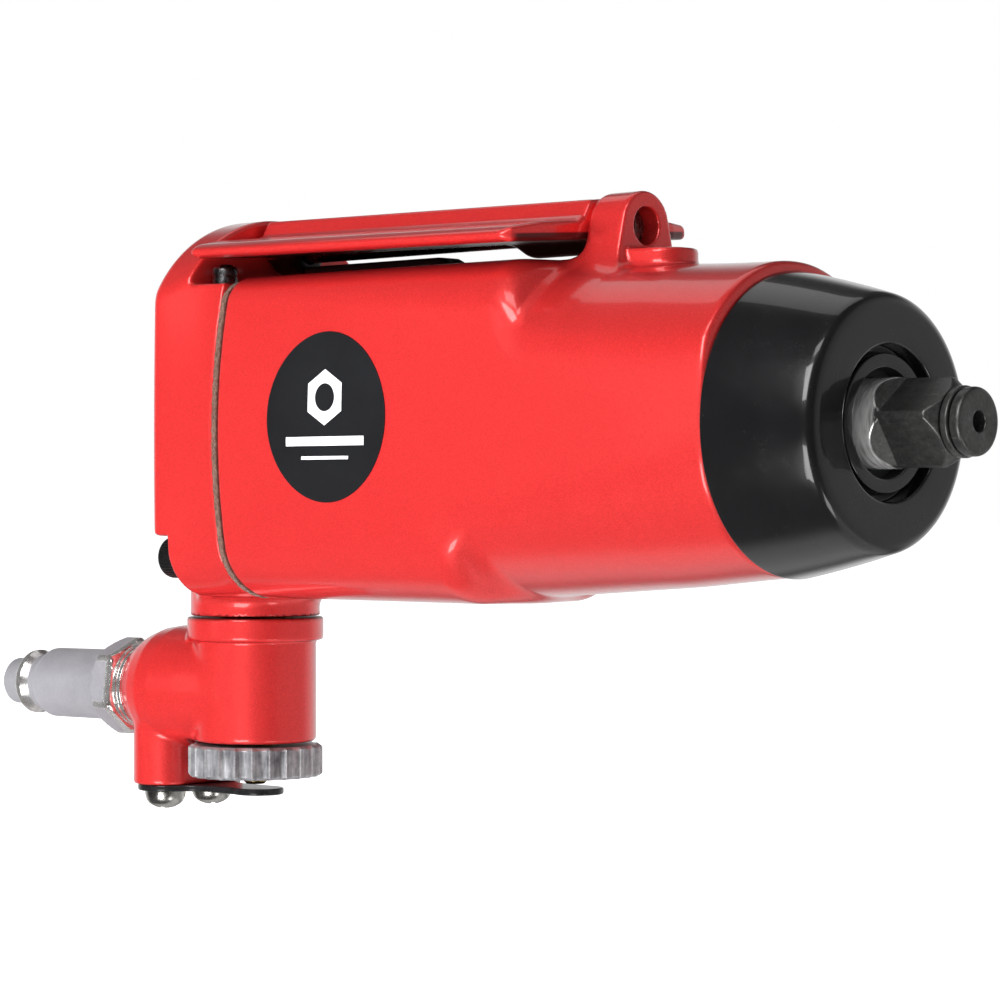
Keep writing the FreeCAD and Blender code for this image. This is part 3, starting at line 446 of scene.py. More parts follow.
def red_paint(name, attrs=True, lift=1.0):
    """Metallic red enamel: fine aluminium flake under a clear coat. Painted shade darkens the red towards grazing view
    angles; with attrs, a painted highlight lightens convex edges, painted shade darkens concave corners, and the dark
    mask paints near-black shade with less clear coat.
    """
    m = Mat(name)
    flake = m.cells(7600, "Color")
    sep = m.t.nodes.new("ShaderNodeSeparateColor")
    m.link(flake, sep.inputs[0])
    spark = sep.outputs[0]
    grain = m.noise(5200, 3, 0.65)
    cloud = m.noise(60, 3, 0.5)
    base = m.ramp(grain, [(0.30, (0.66 * lift, 0.022, 0.023)), (0.50, (0.80 * lift, 0.031, 0.031)),
                          (0.72, (0.92 * lift, 0.046, 0.043))])
    base = m.mix(m.remap(cloud, 0.35, 0.65, 0.0, 0.25), base, (0.72 * lift, 0.025, 0.026))
    base = m.mix(m.remap(spark, 0.88, 1.0, 0.0, 0.35), base, (1.0, 0.09, 0.07))
    # painted shade: the red darkens towards grazing view angles, where the surface turns away from the camera
    base = m.mix(m.remap(m.facing(0.42), 0.42, 0.92, 0.0, 0.85), base, (0.40, 0.006, 0.014))
    if attrs:
        e = m.attr("edge")
        c = m.attr("cav")
        # painted highlight: convex edges are lightened to a brighter red
        base = m.mix(m.remap(e, 0.55, 1.0, 0.0, 0.35), base, (0.95, 0.06, 0.055))
        # painted shade: concave corners are darkened towards near-black red
        base = m.mix(m.remap(c, 0.45, 1.0, 0.0, 0.65), base, (0.30, 0.004, 0.007))
        # painted shade: the dark mask paints near-black shade on surfaces in shadow, under the lever and between parts
        base = m.mix(m.attr("dark"), base, (0.010, 0.004, 0.004))
    rough = m.remap(m.noise(420, 4, 0.7), 0.3, 0.75, 0.34, 0.44)
    flake_n = m.bump(spark, 0.08, 0.00002)
    flake_n = m.bump(grain, 0.10, 0.00002, flake_n)
    peel = m.bump(m.noise(520, 2, 0.4), 0.08, 0.00006)
    peel = m.bump(m.noise(95, 1, 0.4), 0.05, 0.0003, peel)
    # the clear coat is thinned where the dark mask paints shade
    weight = m.remap(m.attr("dark"), 0.0, 1.0, 1.0, 0.25) if attrs else 1.0
    return m.set(color=base, metal=0.42, rough=rough, coat=weight, coat_rough=0.10, normal=flake_n, coat_normal=peel)


def black_gloss(name):
    m = Mat(name)
    grain = m.noise(2600, 3, 0.6)
    cloud = m.noise(70, 3, 0.5)
    col = m.ramp(cloud, [(0.3, (0.0050, 0.0051, 0.0058)), (0.7, (0.0074, 0.0075, 0.0084))])
    col = m.mix(m.remap(grain, 0.62, 0.8, 0, 0.35), col, (0.014, 0.014, 0.016))
    peel = m.bump(m.noise(430, 2, 0.4), 0.03, 0.00004)
    peel = m.bump(m.noise(80, 1, 0.4), 0.04, 0.0003, peel)
    return m.set(color=col, metal=0.0, rough=m.remap(m.noise(260, 4, 0.65), 0.3, 0.75, 0.20, 0.30), coat=0.9,
                 coat_rough=0.045, normal=m.bump(grain, 0.02, 0.00001), coat_normal=peel, spec=0.35)


def steel(name, dark, light, rough=(0.2, 0.4), metal=1.0, grain_scale=900, streak=None, bump=0.15, wear=None,
          coat=0.0, cloud_scale=110):
    """Machined or plated metal: cloudy tone, fine grain, optional streaks along an axis and worn edges."""
    m = Mat(name)
    vec = m.scaled(*streak) if streak else None
    g = m.noise(grain_scale, 4, 0.65, vec)
    cloud = m.noise(cloud_scale, 4, 0.6)
    col = m.ramp(m.math("ADD", m.math("MULTIPLY", g, 0.6), m.math("MULTIPLY", cloud, 0.4)),
                 [(0.32, dark), (0.68, light)])
    r = m.remap(m.math("ADD", m.math("MULTIPLY", g, 0.5), m.math("MULTIPLY", cloud, 0.5)), 0.35, 0.68, rough[0], rough[1])
    if wear is not None:
        e = m.attr("edge")
        w = m.math("MULTIPLY", m.remap(e, wear[1], wear[2], 0.0, 1.0), m.remap(m.noise(1300, 4, 0.7), 0.36, 0.62, 0.15, 1.0))
        col = m.mix(w, col, wear[0])
        r = m.mix(w, r, (0.24, 0.24, 0.24))
    speck = m.cells(grain_scale * 1.1, "Distance")
    n = m.bump(g, bump, 0.00006)
    n = m.bump(speck, bump * 0.4, 0.00004, n)
    return m.set(color=col, metal=metal, rough=r, normal=n, coat=coat)


def soft_matt(name, dark, light, rough, scale, bump, dist=0.0001, streak=None, metal=0.0, sheen=0.0):
    m = Mat(name)
    vec = m.scaled(*streak) if streak else None
    g = m.noise(scale, 5, 0.7, vec)
    c = m.noise(scale * 0.12, 3, 0.5)
    col = m.ramp(m.math("ADD", m.math("MULTIPLY", g, 0.7), m.math("MULTIPLY", c, 0.3)), [(0.34, dark), (0.66, light)])
    return m.set(color=col, metal=metal, rough=m.remap(g, 0.3, 0.7, rough[0], rough[1]), normal=m.bump(g, bump, dist),
                 sheen=sheen)


def drive_steel(name):
    """Black-oxide drive steel: grainy flats, polished running band, bright worn arrises."""
    m = Mat(name)
    g = m.noise(1500, 4, 0.7)
    cloud = m.noise(160, 4, 0.6)
    line = m.noise(700, 3, 0.6, m.scaled(9.0, 0.6, 0.6))
    col = m.ramp(m.math("ADD", m.math("MULTIPLY", g, 0.55), m.math("MULTIPLY", cloud, 0.45)),
                 [(0.30, (0.060, 0.060, 0.058)), (0.55, (0.120, 0.119, 0.116)), (0.75, (0.22, 0.218, 0.215))])
    x = m.axis(0)
    shank = m.math("MULTIPLY", m.remap(x, -0.0129, -0.0133, 0.0, 1.0), m.remap(x, -0.0345, -0.0335, 0.0, 1.0))
    shank = m.math("MULTIPLY", shank, m.remap(m.noise(240, 4, 0.6, m.scaled(6.0, 1.0, 1.0)), 0.3, 0.55, 0.55, 1.0))
    rad = m.math("SQRT", m.math("ADD", m.math("MULTIPLY", m.axis(1), m.axis(1)), m.math("MULTIPLY", m.axis(2), m.axis(2))))
    shank = m.math("MULTIPLY", shank, m.remap(rad, 0.00618, 0.00630, 0.0, 1.0))
    col = m.mix(shank, col, m.ramp(line, [(0.3, (0.66, 0.66, 0.65)), (0.7, (0.90, 0.90, 0.89))]))
    e = m.attr("edge")
    wear = m.math("MULTIPLY", m.remap(e, 0.42, 0.86, 0.0, 1.0), m.remap(m.noise(1700, 4, 0.75), 0.38, 0.60, 0.25, 1.0))
    col = m.mix(wear, col, (0.62, 0.615, 0.58))
    scratch = m.noise(900, 2, 0.5, m.scaled(0.35, 3.2, 0.35))
    col = m.mix(m.remap(scratch, 0.68, 0.76, 0.0, 0.45), col, (0.30, 0.30, 0.28))
    rough = m.remap(m.math("ADD", m.math("MULTIPLY", g, 0.6), m.math("MULTIPLY", cloud, 0.4)), 0.3, 0.7, 0.26, 0.46)
    rough = m.mix(shank, rough, (0.17, 0.17, 0.17))
    n = m.bump(g, 0.16, 0.00004)
    n = m.bump(line, 0.06, 0.00003, n)
    return m.set(color=col, metal=m.remap(shank, 0.0, 1.0, 0.85, 0.45), rough=rough, normal=n)


def gasket_fibre(name):
    m = Mat(name)
    f1 = m.noise(2600, 5, 0.8, m.scaled(1.0, 0.35, 1.0))
    f2 = m.noise(900, 4, 0.7)
    col = m.ramp(m.math("ADD", m.math("MULTIPLY", f1, 0.6), m.math("MULTIPLY", f2, 0.4)),
                 [(0.30, (0.055, 0.026, 0.017)), (0.50, (0.135, 0.062, 0.040)), (0.70, (0.27, 0.16, 0.115))])
    return m.set(color=col, rough=0.85, metal=0.0, normal=m.bump(f1, 0.9, 0.00015), sheen=0.25)


MATS = {
    "red_paint": red_paint("red_metallic_paint"),
    "black_gloss": black_gloss("black_gloss_enamel"),
    "black_oxide": drive_steel("black_oxide_drive_steel"),
    "ground_steel": steel("ground_steel", (0.33, 0.33, 0.32), (0.52, 0.52, 0.50), (0.18, 0.34), streak=(5, 0.6, 0.6)),
    "bearing_steel": steel("bearing_steel", (0.50, 0.50, 0.49), (0.68, 0.68, 0.67), (0.08, 0.18), streak=(6, 0.5, 0.5), bump=0.06),
    "nickel": None,
    "zinc_screw": steel("zinc_plated_screw", (0.52, 0.50, 0.46), (0.80, 0.78, 0.74), (0.16, 0.34), grain_scale=1400, bump=0.12,
                        wear=((0.9, 0.89, 0.86), 0.5, 0.95)),
    "knob_metal": None,
    "black_plate": steel("black_pressed_plate", (0.010, 0.010, 0.011), (0.026, 0.026, 0.028), (0.22, 0.38), metal=0.35,
                         grain_scale=1300, bump=0.12, coat=0.4),
    "black_screw": steel("black_oxide_screw", (0.012, 0.012, 0.013), (0.05, 0.05, 0.052), (0.26, 0.42), metal=0.8,
                         grain_scale=1500, bump=0.2),
    "bronze": steel("sintered_bronze", (0.28, 0.17, 0.07), (0.45, 0.29, 0.13), (0.32, 0.5), bump=0.3),
    "brass": steel("turned_brass", (0.50, 0.36, 0.14), (0.68, 0.51, 0.22), (0.2, 0.36), streak=(0.6, 0.6, 5)),
    "gunmetal": steel("gunmetal_button", (0.055, 0.056, 0.058), (0.30, 0.30, 0.31), (0.18, 0.42), grain_scale=1600, bump=0.5,
                      cloud_scale=700),
    "rubber": soft_matt("nitrile_rubber", (0.007, 0.007, 0.007), (0.022, 0.022, 0.022), (0.5, 0.75), 1500, 0.35),
    "gasket_fibre": gasket_fibre("gasket_fibre_sheet"),
    "vane_composite": soft_matt("vane_composite", (0.16, 0.09, 0.035), (0.28, 0.17, 0.08), (0.45, 0.65), 900, 0.3,
                                streak=(0.4, 1, 5)),
    "spring_steel": steel("spring_steel", (0.30, 0.30, 0.31), (0.55, 0.55, 0.56), (0.2, 0.35)),
}


def nickel(name):
    """Satin nickel nipple: blasted body, bright locking ring and hexagon arrises."""
    m = Mat(name)
    g = m.noise(2200, 4, 0.7)
    cloud = m.noise(130, 4, 0.6)
    col = m.ramp(m.math("ADD", m.math("MULTIPLY", g, 0.45), m.math("MULTIPLY", cloud, 0.55)),
                 [(0.32, (0.40, 0.395, 0.43)), (0.68, (0.53, 0.525, 0.565))])
    bright = m.attr("bright")
    col = m.mix(bright, col, m.ramp(m.noise(420, 4, 0.7, m.scaled(1, 3, 3)), [(0.3, (0.60, 0.59, 0.57)), (0.7, (0.93, 0.92, 0.90))]))
    rough = m.mix(bright, m.remap(g, 0.3, 0.7, 0.40, 0.52), m.remap(cloud, 0.3, 0.7, 0.07, 0.16))
    n = m.bump(g, 0.16, 0.00005)
    n = m.bump(m.noise(1900, 3, 0.6, m.scaled(6.0, 0.5, 0.5)), 0.10, 0.00005, n)
    return m.set(color=col, metal=m.remap(bright, 0.0, 1.0, 0.55, 0.85), rough=rough, normal=n)


def knob_metal(name):
    """Die-cast knob: dull silver, vertical drag marks, bright ridges."""
    m = Mat(name)
    streak = m.noise(1500, 4, 0.7, m.scaled(1.0, 1.0, 0.12))
    g = m.noise(1900, 4, 0.7)
    cloud = m.noise(300, 4, 0.6)
    mixv = m.math("ADD", m.math("MULTIPLY", streak, 0.5), m.math("MULTIPLY", cloud, 0.5))
    col = m.ramp(mixv, [(0.34, (0.14, 0.146, 0.158)), (0.50, (0.38, 0.39, 0.41)), (0.66, (0.66, 0.67, 0.70))])
    e = m.attr("ridge")
    col = m.mix(m.math("MULTIPLY", m.remap(e, 0.4, 1.0, 0.0, 0.8), m.remap(g, 0.35, 0.6, 0.2, 1.0)), col, (0.84, 0.85, 0.87))
    n = m.bump(streak, 0.35, 0.0001)
    n = m.bump(g, 0.25, 0.00006, n)
    return m.set(color=col, metal=0.60, rough=m.remap(mixv, 0.3, 0.7, 0.28, 0.42), normal=n)


MATS["nickel"] = nickel("satin_nickel")
MATS["knob_metal"] = knob_metal("die_cast_knob")


def badge_mat(name, dark, light, rough):
    m = Mat(name)
    g = m.noise(1800, 4, 0.65)
    c = m.noise(90, 3, 0.5)
    col = m.ramp(m.math("ADD", m.math("MULTIPLY", g, 0.5), m.math("MULTIPLY", c, 0.5)), [(0.35, dark), (0.65, light)])
    return m.set(color=col, rough=m.remap(g, 0.3, 0.7, rough[0], rough[1]), normal=m.bump(g, 0.10, 0.00004), spec=0.15)


MATS["badge"] = badge_mat("badge_black_film", (0.0085, 0.0088, 0.0100), (0.0125, 0.0130, 0.0148), (0.46, 0.56))
MATS["badge_white"] = badge_mat("badge_white_print", (0.80, 0.80, 0.83), (0.90, 0.90, 0.92), (0.40, 0.5))

for rec_mat in frame["record"].get("materials", []):
    s = rec_mat.get("slot")
    if s not in MATS or MATS[s] is None:
        MATS[s] = MATS["ground_steel"]
PLAIN_RED = red_paint("red_metallic_paint_plain", attrs=False)
NODE_SLOT = {}
for _n, _o in NODES.items():
    names = [(sl.material.name if sl.material else "") for sl in _o.material_slots]
    hit = next((k for k in MATS if any(nm == k or nm.startswith(k + ".") for nm in names)), None)
    NODE_SLOT[_n] = hit


# ------------------------------------------------------------------ shared section of the grip
HALF, DECK, LEDGE, BOTTOM = 21.5, 25.0, 24.0, -26.3
CONE = table([(25, 21.0), (31, 21.6), (37.6, 22.2), (48.6, 23.3), (70, 24.8), (82, 25.6), (150, 25.6)], 7.0, 20, 150)


SCREWS = ((10.0, 21.2, 2.0), (15.8, -19.9, 1.3))


def crown(x):
    """How far the grip's side faces are crowned at x: 0 flat, 1 fully."""
    L = -x
    return sstep(82, 128, L) * (1 - 0.9 * sstep(133, 145.7, L))


def side_y(x, y, z):
    return np.abs(y) + crown(x) * z * z / 210.0


def grip_section(x, y, z, top, r_top, r_bot):
    ys = side_y(x, y, z)
    zc = 0.5 * (top + BOTTOM)
    hz = 0.5 * (top - BOTTOM)
    r = np.where(z > zc, r_top, r_bot)
    qy = ys - HALF + r
    qz = np.abs(z - zc) - hz + r
    return np.minimum(np.maximum(qy, qz), 0) + np.hypot(np.maximum(qy, 0), np.maximum(qz, 0)) - r


def box_field(x, y, z, lo, hi):
    qx = np.maximum(lo[0] - x, x - hi[0])
    qy = np.maximum(lo[1] - y, y - hi[1])
    qz = np.maximum(lo[2] - z, z - hi[2])
    return np.maximum(np.maximum(qx, qy), qz)


SHOULDER = table([(58, 23.4), (62.5, 24.3), (65.2, 24.95), (66.6, 25.9), (69.4, 28.9), (74, 34.0), (90, 52.0), (150, 120.0)], 0.8, 58, 150)


# ------------------------------------------------------------------ motor housing
def f_housing(x, y, z):
    L = -x
    r = np.hypot(y, z)
    cone = r - np.interp(L, *CONE)
    rt = 8.6 - 4.2 * sstep(74, 128, L)
    rb = 11.5 - 3.2 * sstep(88, 128, L)
    block = grip_section(x, y, z, DECK, rt, rb)
    up = (r - np.interp(L, *SHOULDER)) * 0.70
    low = (r - (25.35 + (L - 77.7) * 1.27)) * 0.62
    w = sstep(-2.5, 2.5, z)
    shoulder = up * w + low * (1 - w)
    block = smax(block, shoulder, 2.3)
    body = smin(cone, block, 1.5)
    k_side = 0.06 + 1.5 * (1 - (w * sstep(65, 71.5, L) + (1 - w) * sstep(78.5, 84, L)))
    body = smax(body, side_y(x, y, z) - HALF, k_side)
    body = smax(body, z - DECK, 0.25)
    # rib along the deck, its front end rounded down
    qx, qz = x + 98.0 + 2.3, z - 27.3 + 2.3
    nose = np.minimum(np.maximum(qx, qz), 0) + np.hypot(np.maximum(qx, 0), np.maximum(qz, 0)) - 2.3
    rib = smax(nose, np.abs(y) - 2.6, 0.8)
    rib = np.maximum(rib, 18.0 - z)
    body = smin(body, rib, 1.2)
    # pivot ear, its foot and the round boss in front of it
    a = 0.25
    ca, sa = math.cos(a), math.sin(a)
    hy, hz = np.abs(y), z - 29.9
    ear = np.where(-hy * sa + hz * ca > 0, np.hypot(hy, hz) - 5.2, hy * ca + hz * sa - 5.2)
    ear = smax(ear, x + 59.1, 0.7)
    ear = smax(ear, -66.45 - x, 1.3)
    ear = np.maximum(ear, 16.0 - z)
    body = smin(body, ear, 3.0)
    dx = np.maximum(x + 55.8, 0.0)
    foot = np.hypot(dx, y) - 5.0
    foot = np.maximum(foot, -62.0 - x)
    foot = smax(foot, z - 26.3, 0.75)
    foot = np.maximum(foot, 14.0 - z)
    body = smin(body, foot, 0.9)
    body = smax(body, x + 31.0, 1.3)
    body = smax(body, -130.6 - x, 0.8)
    # bores
    body = smax(body, 2.83 - np.where(x > -72, np.hypot(y, hz), 9.0), 0.35)
    ring_x = np.abs(x + 63.4) - 1.0
    hole = np.minimum(np.maximum(r - 19.5, -ring_x), r - 16.6)
    body = np.maximum(body, -hole)
    for sy, sz, sr in SCREWS:
        tap = np.maximum(np.hypot(np.abs(y) - sy, z - sz) - sr - 0.05, x + 112.0)
        body = np.maximum(body, -tap)
    return body


# dark paints near-black shade on the deck rib under the lever, where the lever's shadow falls
housing = field_piece(
    "housing_casting", f_housing,
    seg((-131.5, -126, 0.5), (-126, -86, 1.3), (-86, -53, 0.62), (-53, -35, 1.3), (-35, -30.4, 0.45)),
    seg((-22.1, -10, 0.62), (-10, 10, 0.5), (10, 22.1, 0.62)),
    seg((-27.0, 19, 0.66), (19, 35.8, 0.40)),
    "tool_body", MATS["red_paint"], ("motor_housing",), dark=lambda x, y, z: sstep(25.15, 25.35, z) * (1 - sstep(2.7, 3.0, np.abs(y))) * (1 - sstep(-90.0, -88.0, x)))


# ------------------------------------------------------------------ rear cover with arch, neck and duct
def f_cover(x, y, z):
    r = np.hypot(y, z)
    side = side_y(x, y, z) - HALF
    arc = np.hypot(y, z - 11.4) - 24.0
    low = grip_section(x, y, z, 60.0, 9.0, 8.3)
    outline = np.where(z > 5.0, smax(arc, side, 0.7), low)
    outline = np.where(z > 5.0, outline, np.maximum(low, side))
    # below the ledge everywhere, above it only in the arch at the back
    lid = smin(z - LEDGE, x + 138.9, 0.9)
    body = smax(outline, lid, 0.7)
    body = smax(body, -146.8 - x, 2.2)
    body = smax(body, x + 131.75, 0.6)
    # neck of the swivel and the air duct behind the cover
    dn = np.hypot(x + 145.0, y) - 10.7
    neck = smax(dn, -29.8 - z, 0.35)
    neck = smax(neck, z - 4.2, 5.0)
    body = smin(body, neck, 2.2)
    body = smax(body, -29.8 - z, 0.3)
    # head pockets
    ay = np.abs(y)
    notch = np.maximum(np.maximum(12.0 - ay, z + 16.4), x + 143.0)
    notch = np.maximum(notch, (12.4 - ay + z + 17.4) * 0.707)
    body = smax(body, -notch, 0.8)
    cb = np.maximum(np.hypot(ay - 10.0, z - 21.2) - 3.7, x + 143.0)
    body = smax(body, -cb, 0.5)
    # spigot and bores
    spig = np.maximum(np.maximum(r - 19.35, x + 119.6), -133.0 - x)
    body = np.minimum(body, spig)
    body = np.maximum(body, np.where(x > -134.0, 16.0 - r, -5.0))
    for sy, sz, sr in SCREWS:
        body = np.maximum(body, sr + 0.1 - np.hypot(ay - sy, z - sz))
    valve = np.maximum(np.hypot(x + 134.9, ay - 15.7) - 2.25, -6.0 - z)
    body = smax(body, -valve, 0.3)
    piv = np.maximum(np.hypot(y, z - 29.9) - 1.95, -144.6 - x)
    body = np.maximum(body, -piv)
    post = np.maximum(np.hypot(x + 145.0, y) - 6.0, z + 16.0)
    body = np.maximum(body, -post)
    return body


# dark paints near-black shade on the bottom face of the neck, in the gap above the swivel collar
cover = field_piece(
    "rear_cover_casting", f_cover,
    seg((-157.0, -146.2, 0.55), (-146.2, -130.9, 0.42), (-130.9, -119.2, 0.9)),
    seg((-22.1, -9, 0.48), (-9, 9, 0.6), (9, 22.1, 0.48)),
    seg((-30.3, -14, 0.48), (-14, 14, 0.7), (14, 36.0, 0.42)),
    "tool_body", MATS["red_paint"], ("rear_cover",),
    dark=lambda x, y, z: 0.9 * (1 - sstep(-29.75, -29.45, z)))


# ------------------------------------------------------------------ throttle lever
LEV_T = table([(-1, 35.0), (3.4, 35.0), (3.9, 34.55), (5.1, 32.85), (6.6, 32.32), (14.0, 32.2), (19.0, 31.6), (21.0, 30.75),
               (23.0, 29.9)], 0.7, -2, 24)


def f_lever(x, y, z):
    ay = np.abs(y)
    run = np.clip((x + 137.9) / (137.9 - 66.6), 0, 1)
    drop = 1.1 * run * sstep(3.8, 7.0, ay) + (0.85 * run - 0.15) * (1 - sstep(3.8, 7.0, ay))
    top = (z - (np.interp(ay, *LEV_T) - drop)) * np.where((ay > 3.3) & (ay < 6.0), 0.62, 0.97)
    under = (29.3 + np.clip((ay - 19.2) * 0.35, 0, 1.2) - 1.1 * run) - z
    f = smax(top, under, 0.7)
    f = smax(f, ay - 21.0, 1.1)
    xf = np.interp(ay, [0, 5.2, 9.0, 12, 16, 19.4, 21.2], [-66.65, -66.7, -66.85, -67.1, -67.6, -68.3, -69.8])
    f = smax(f, (x - xf) * 0.93, 0.8)
    f = smax(f, -137.9 - x, 1.0)
    tube = np.hypot(y, z - 29.9) - 3.7
    b1 = smax(smax(tube, x + 66.6, 0.6), -84.0 - x, 3.4)
    b2 = smax(smax(tube, -137.9 - x, 0.6), x + 131.6, 1.6)
    f = smin(f, np.minimum(b1, b2), 1.5)
    # hollow of the spine between the bosses
    chan = np.maximum(np.maximum(ay - 2.3, z - 32.4), np.maximum(-131.5 - x, x + 84.1))
    f = smax(f, -chan, 0.5)
    bore = np.hypot(y, z - 29.9) - 2.0
    return np.maximum(f, -bore)


lean = math.radians(3.8)
RX = np.array([[1, 0, 0], [0, math.cos(lean), -math.sin(lean)], [0, math.sin(lean), math.cos(lean)]])
PIV = np.array([0.0, 0.0, 29.9])
# dark paints near-black shade on the underside of the lever and the lower half of its pivot bosses
lever = field_piece(
    "throttle_lever_casting", f_lever,
    seg((-138.5, -130, 0.42), (-130, -88, 1.1), (-88, -66.0, 0.42)),
    seg((-21.6, -17, 0.30), (-17, -7, 0.5), (-7, 7, 0.27), (7, 17, 0.5), (17, 21.6, 0.30)),
    seg((25.6, 35.7, 0.24)),
    "throttle", MATS["red_paint"], ("throttle_lever",),
    transform=(RX, PIV - RX @ PIV),
    dark=lambda x, y, z: np.clip((1 - sstep(3.9, 4.3, np.abs(y))) * (1 - sstep(29.4, 29.9, z)) * 1.0
                                 + 0.9 * (1 - sstep(29.30, 29.60, z)) * (1 - sstep(18.3, 19.8, np.abs(y))) * sstep(-137.0, -134.0, x), 0, 1))


# ------------------------------------------------------------------ swivel inlet casting
TURN = math.radians(8.0)
CT, ST = math.cos(TURN), math.sin(TURN)
BOSS = table([(-5, 9.0), (0.5, 9.6), (9.0, 10.6), (15.0, 10.6), (17.9, 10.2), (20.4, 9.3), (22.5, 8.1), (23.9, 6.9), (26, 5.0)],
             1.2, -5, 26)


def f_swivel(x, y, z):
    u = x + 145.0
    rr = np.hypot(u, y)
    barrel = smax(smax(rr - 10.1, z + 31.0, 0.4), -50.6 - z, 0.9)
    collar = smax(smax(rr - 11.3, z + 29.95, 0.5), -33.8 - z, 0.7)
    body = smin(barrel, collar, 0.5)
    d = -(u * CT + y * ST)
    t = u * ST - y * CT
    w = z + 42.3
    boss = (np.hypot(t, np.where(w < 0, w * 1.07, w)) - np.interp(d, *BOSS)) * 0.9
    boss = smax(boss, d - 23.9, 0.7)
    boss = smax(boss, 0.5 - d, 0.5)
    below = np.maximum(rr - 11.45, z + 50.6)
    boss = smax(boss, -below, 0.7)
    col = np.hypot(u + 16.8, np.maximum(np.abs(y) - 5.2, 0)) - 5.3
    col = smax(smax(col, -58.3 - z, 0.6), z + 41.3, 0.6)
    body = smin(body, smin(boss, col, 0.7), 1.0)
    body = np.maximum(body, -np.maximum(rr - 11.4, z + 50.75))
    cut = np.maximum(rr - 6.0, -45.2 - z)
    cut = np.minimum(cut, np.maximum(rr - 8.0, z + 45.15))
    rad = np.hypot(t, w)
    cut = np.minimum(cut, np.maximum(rad - 5.2, 9.0 - d))
    cut = np.minimum(cut, np.maximum(rad - 3.2, np.abs(d - 6) - 4.5))
    body = smax(body, -cut, 0.3)
    hole = np.maximum(np.hypot(u + 16.8, np.abs(y) - 5.2) - 1.5, z + 50.0)
    return np.maximum(body, -hole)


# dark paints near-black shade on the top of the collar, in the gap under the neck
swivel = field_piece(
    "swivel_casting", f_swivel,
    seg((-169.2, -133.2, 0.40)),
    seg((-13.3, 11.8, 0.40)),
    seg((-58.8, -29.7, 0.38)),
    "swivel", MATS["red_paint"], ("swivel_body",),
    dark=lambda x, y, z: 0.9 * sstep(-30.35, -30.10, z))


# ------------------------------------------------------------------ nose (hammer case)
out_r = [(17.88 + 0.2915 * s - 0.0028 * s * s, 14.5 + s) for s in np.linspace(0, 16.5, 26)]
prof = [(7.7, 15.4), (9.8, 15.4), (9.8, 17.6), (11.0, 17.6), (11.0, 14.5)]
rads = [0.35, 0.35, 0.25, 0.25, 0.45]
prof.append(out_r[0])
rads.append(2.7)
for p in out_r[5:-1]:
    prof.append(p)
    rads.append(0.0)
prof += [out_r[-1], (19.4, 31.0), (19.4, 33.6), (18.55, 33.6), (18.55, 35.2), (19.4, 35.2), (19.4, 62.0), (17.0, 62.0), (17.0, 37.4),
         (11.0, 33.9), (8.0, 33.9), (8.0, 19.6), (7.7, 19.6)]
rads += [0.45] + [0.0] * 12
prof = round_profile(prof, rads, 7)
v, q = spin(densify(prof, 2.2), 224)
nose = mesh_object("nose_case", v, q, "tool_body", MATS["black_gloss"], ("hammer_case",))
weighted(nose, 38)


# ------------------------------------------------------------------ anvil with its square
CLK = math.radians(35.7)


def f_anvil(x, y, z):
    L = -x
    r = np.hypot(y, z)
    ya = y * math.cos(CLK) + z * math.sin(CLK)
    za = -y * math.sin(CLK) + z * math.cos(CLK)
    flat = np.maximum(np.abs(ya), np.abs(za)) - 4.7625 - np.maximum(0.0, L - 12.4) * 0.85
    front = 4.65 + (L - 3.4) * 1.06
    sq = smax(flat, r - np.where(L < 12.9, 6.235, 6.35), 0.22)
    sq = smax(sq, r - front, 0.3)
    sq = np.maximum(sq, 3.4 - L)
    sq = smax(sq, 3.4 - L, 0.15)
    neck = np.maximum(r - 3.4, 0.6 - L)
    collar = smax(smax(r - 4.75, -L, 0.75), L - 1.7, 0.22)
    f = np.minimum(np.minimum(sq, neck), collar)
    f = np.maximum(f, L - 34.2)
    flange = smax(smax(r - 10.0, 34.2 - L, 0.4), L - 36.6, 0.4)
    jaw = smax(smax(r - 8.0, np.abs(z) - 6.2, 0.3), np.maximum(36.0 - L, L - 55.4), 0.5)
    jaw = np.where(L < 40.0, smax(r - 8.0, np.maximum(36.0 - L, L - 55.4), 0.5), jaw)
    f = np.minimum(f, np.minimum(flange, jaw))
    return smax(f, -(np.maximum(r - 1.5, L - 4.0 + 0.35 * r)), 0.16)


anvil = field_piece(
    "anvil_drive", f_anvil,
    seg((-55.9, -36.9, 0.9), (-36.9, -33.9, 0.3), (-33.9, -16.0, 1.1), (-16.0, 0.45, 0.155)),
    seg((-10.3, -6.7, 0.4), (-6.7, 6.7, 0.155), (6.7, 10.3, 0.4)),
    seg((-10.3, -6.7, 0.4), (-6.7, 6.7, 0.155), (6.7, 10.3, 0.4)),
    "drive_anvil", MATS["black_oxide"], ("anvil",), probe=0.30, reach=0.2)

# retaining ring as a round-cornered ring
v, q = spin(round_profile([(4.08, 1.95), (4.95, 1.95), (4.95, 3.15), (4.08, 3.15)], [0.15, 0.3, 0.3, 0.15], 4), 96)
ring = mesh_object("socket_ring", v, q, "drive_anvil", MATS["black_oxide"], ("socket_retaining_ring",))
weighted(ring, 40)

# ------------------------------------------------------------------ nipple
ex = np.array([-CT, -ST, 0.0])
ey = np.array([ST, -CT, 0.0])
ez = np.array([0.0, 0.0, 1.0])
AX = np.stack([ey, ez, ex], 1)
IN0 = (-145.0, 0.0, -42.3)
HEX0 = math.radians(4 + 94)


def hex_r(R, L, T):
    a = np.mod(T - HEX0, math.pi / 3) - math.pi / 6
    hr = 7.25 / np.cos(a)
    hr = smin(hr, 8.25 + 0 * hr, 0.10)
    cap = np.minimum(7.25 + (L - 25.6) * 1.35, 6.3 + (31.3 - L) * 1.05)
    zone = (L > 25.79) & (L < 31.01) & (R > 6.4)
    return np.where(zone, np.minimum(hr, np.maximum(cap, 6.0)), R)


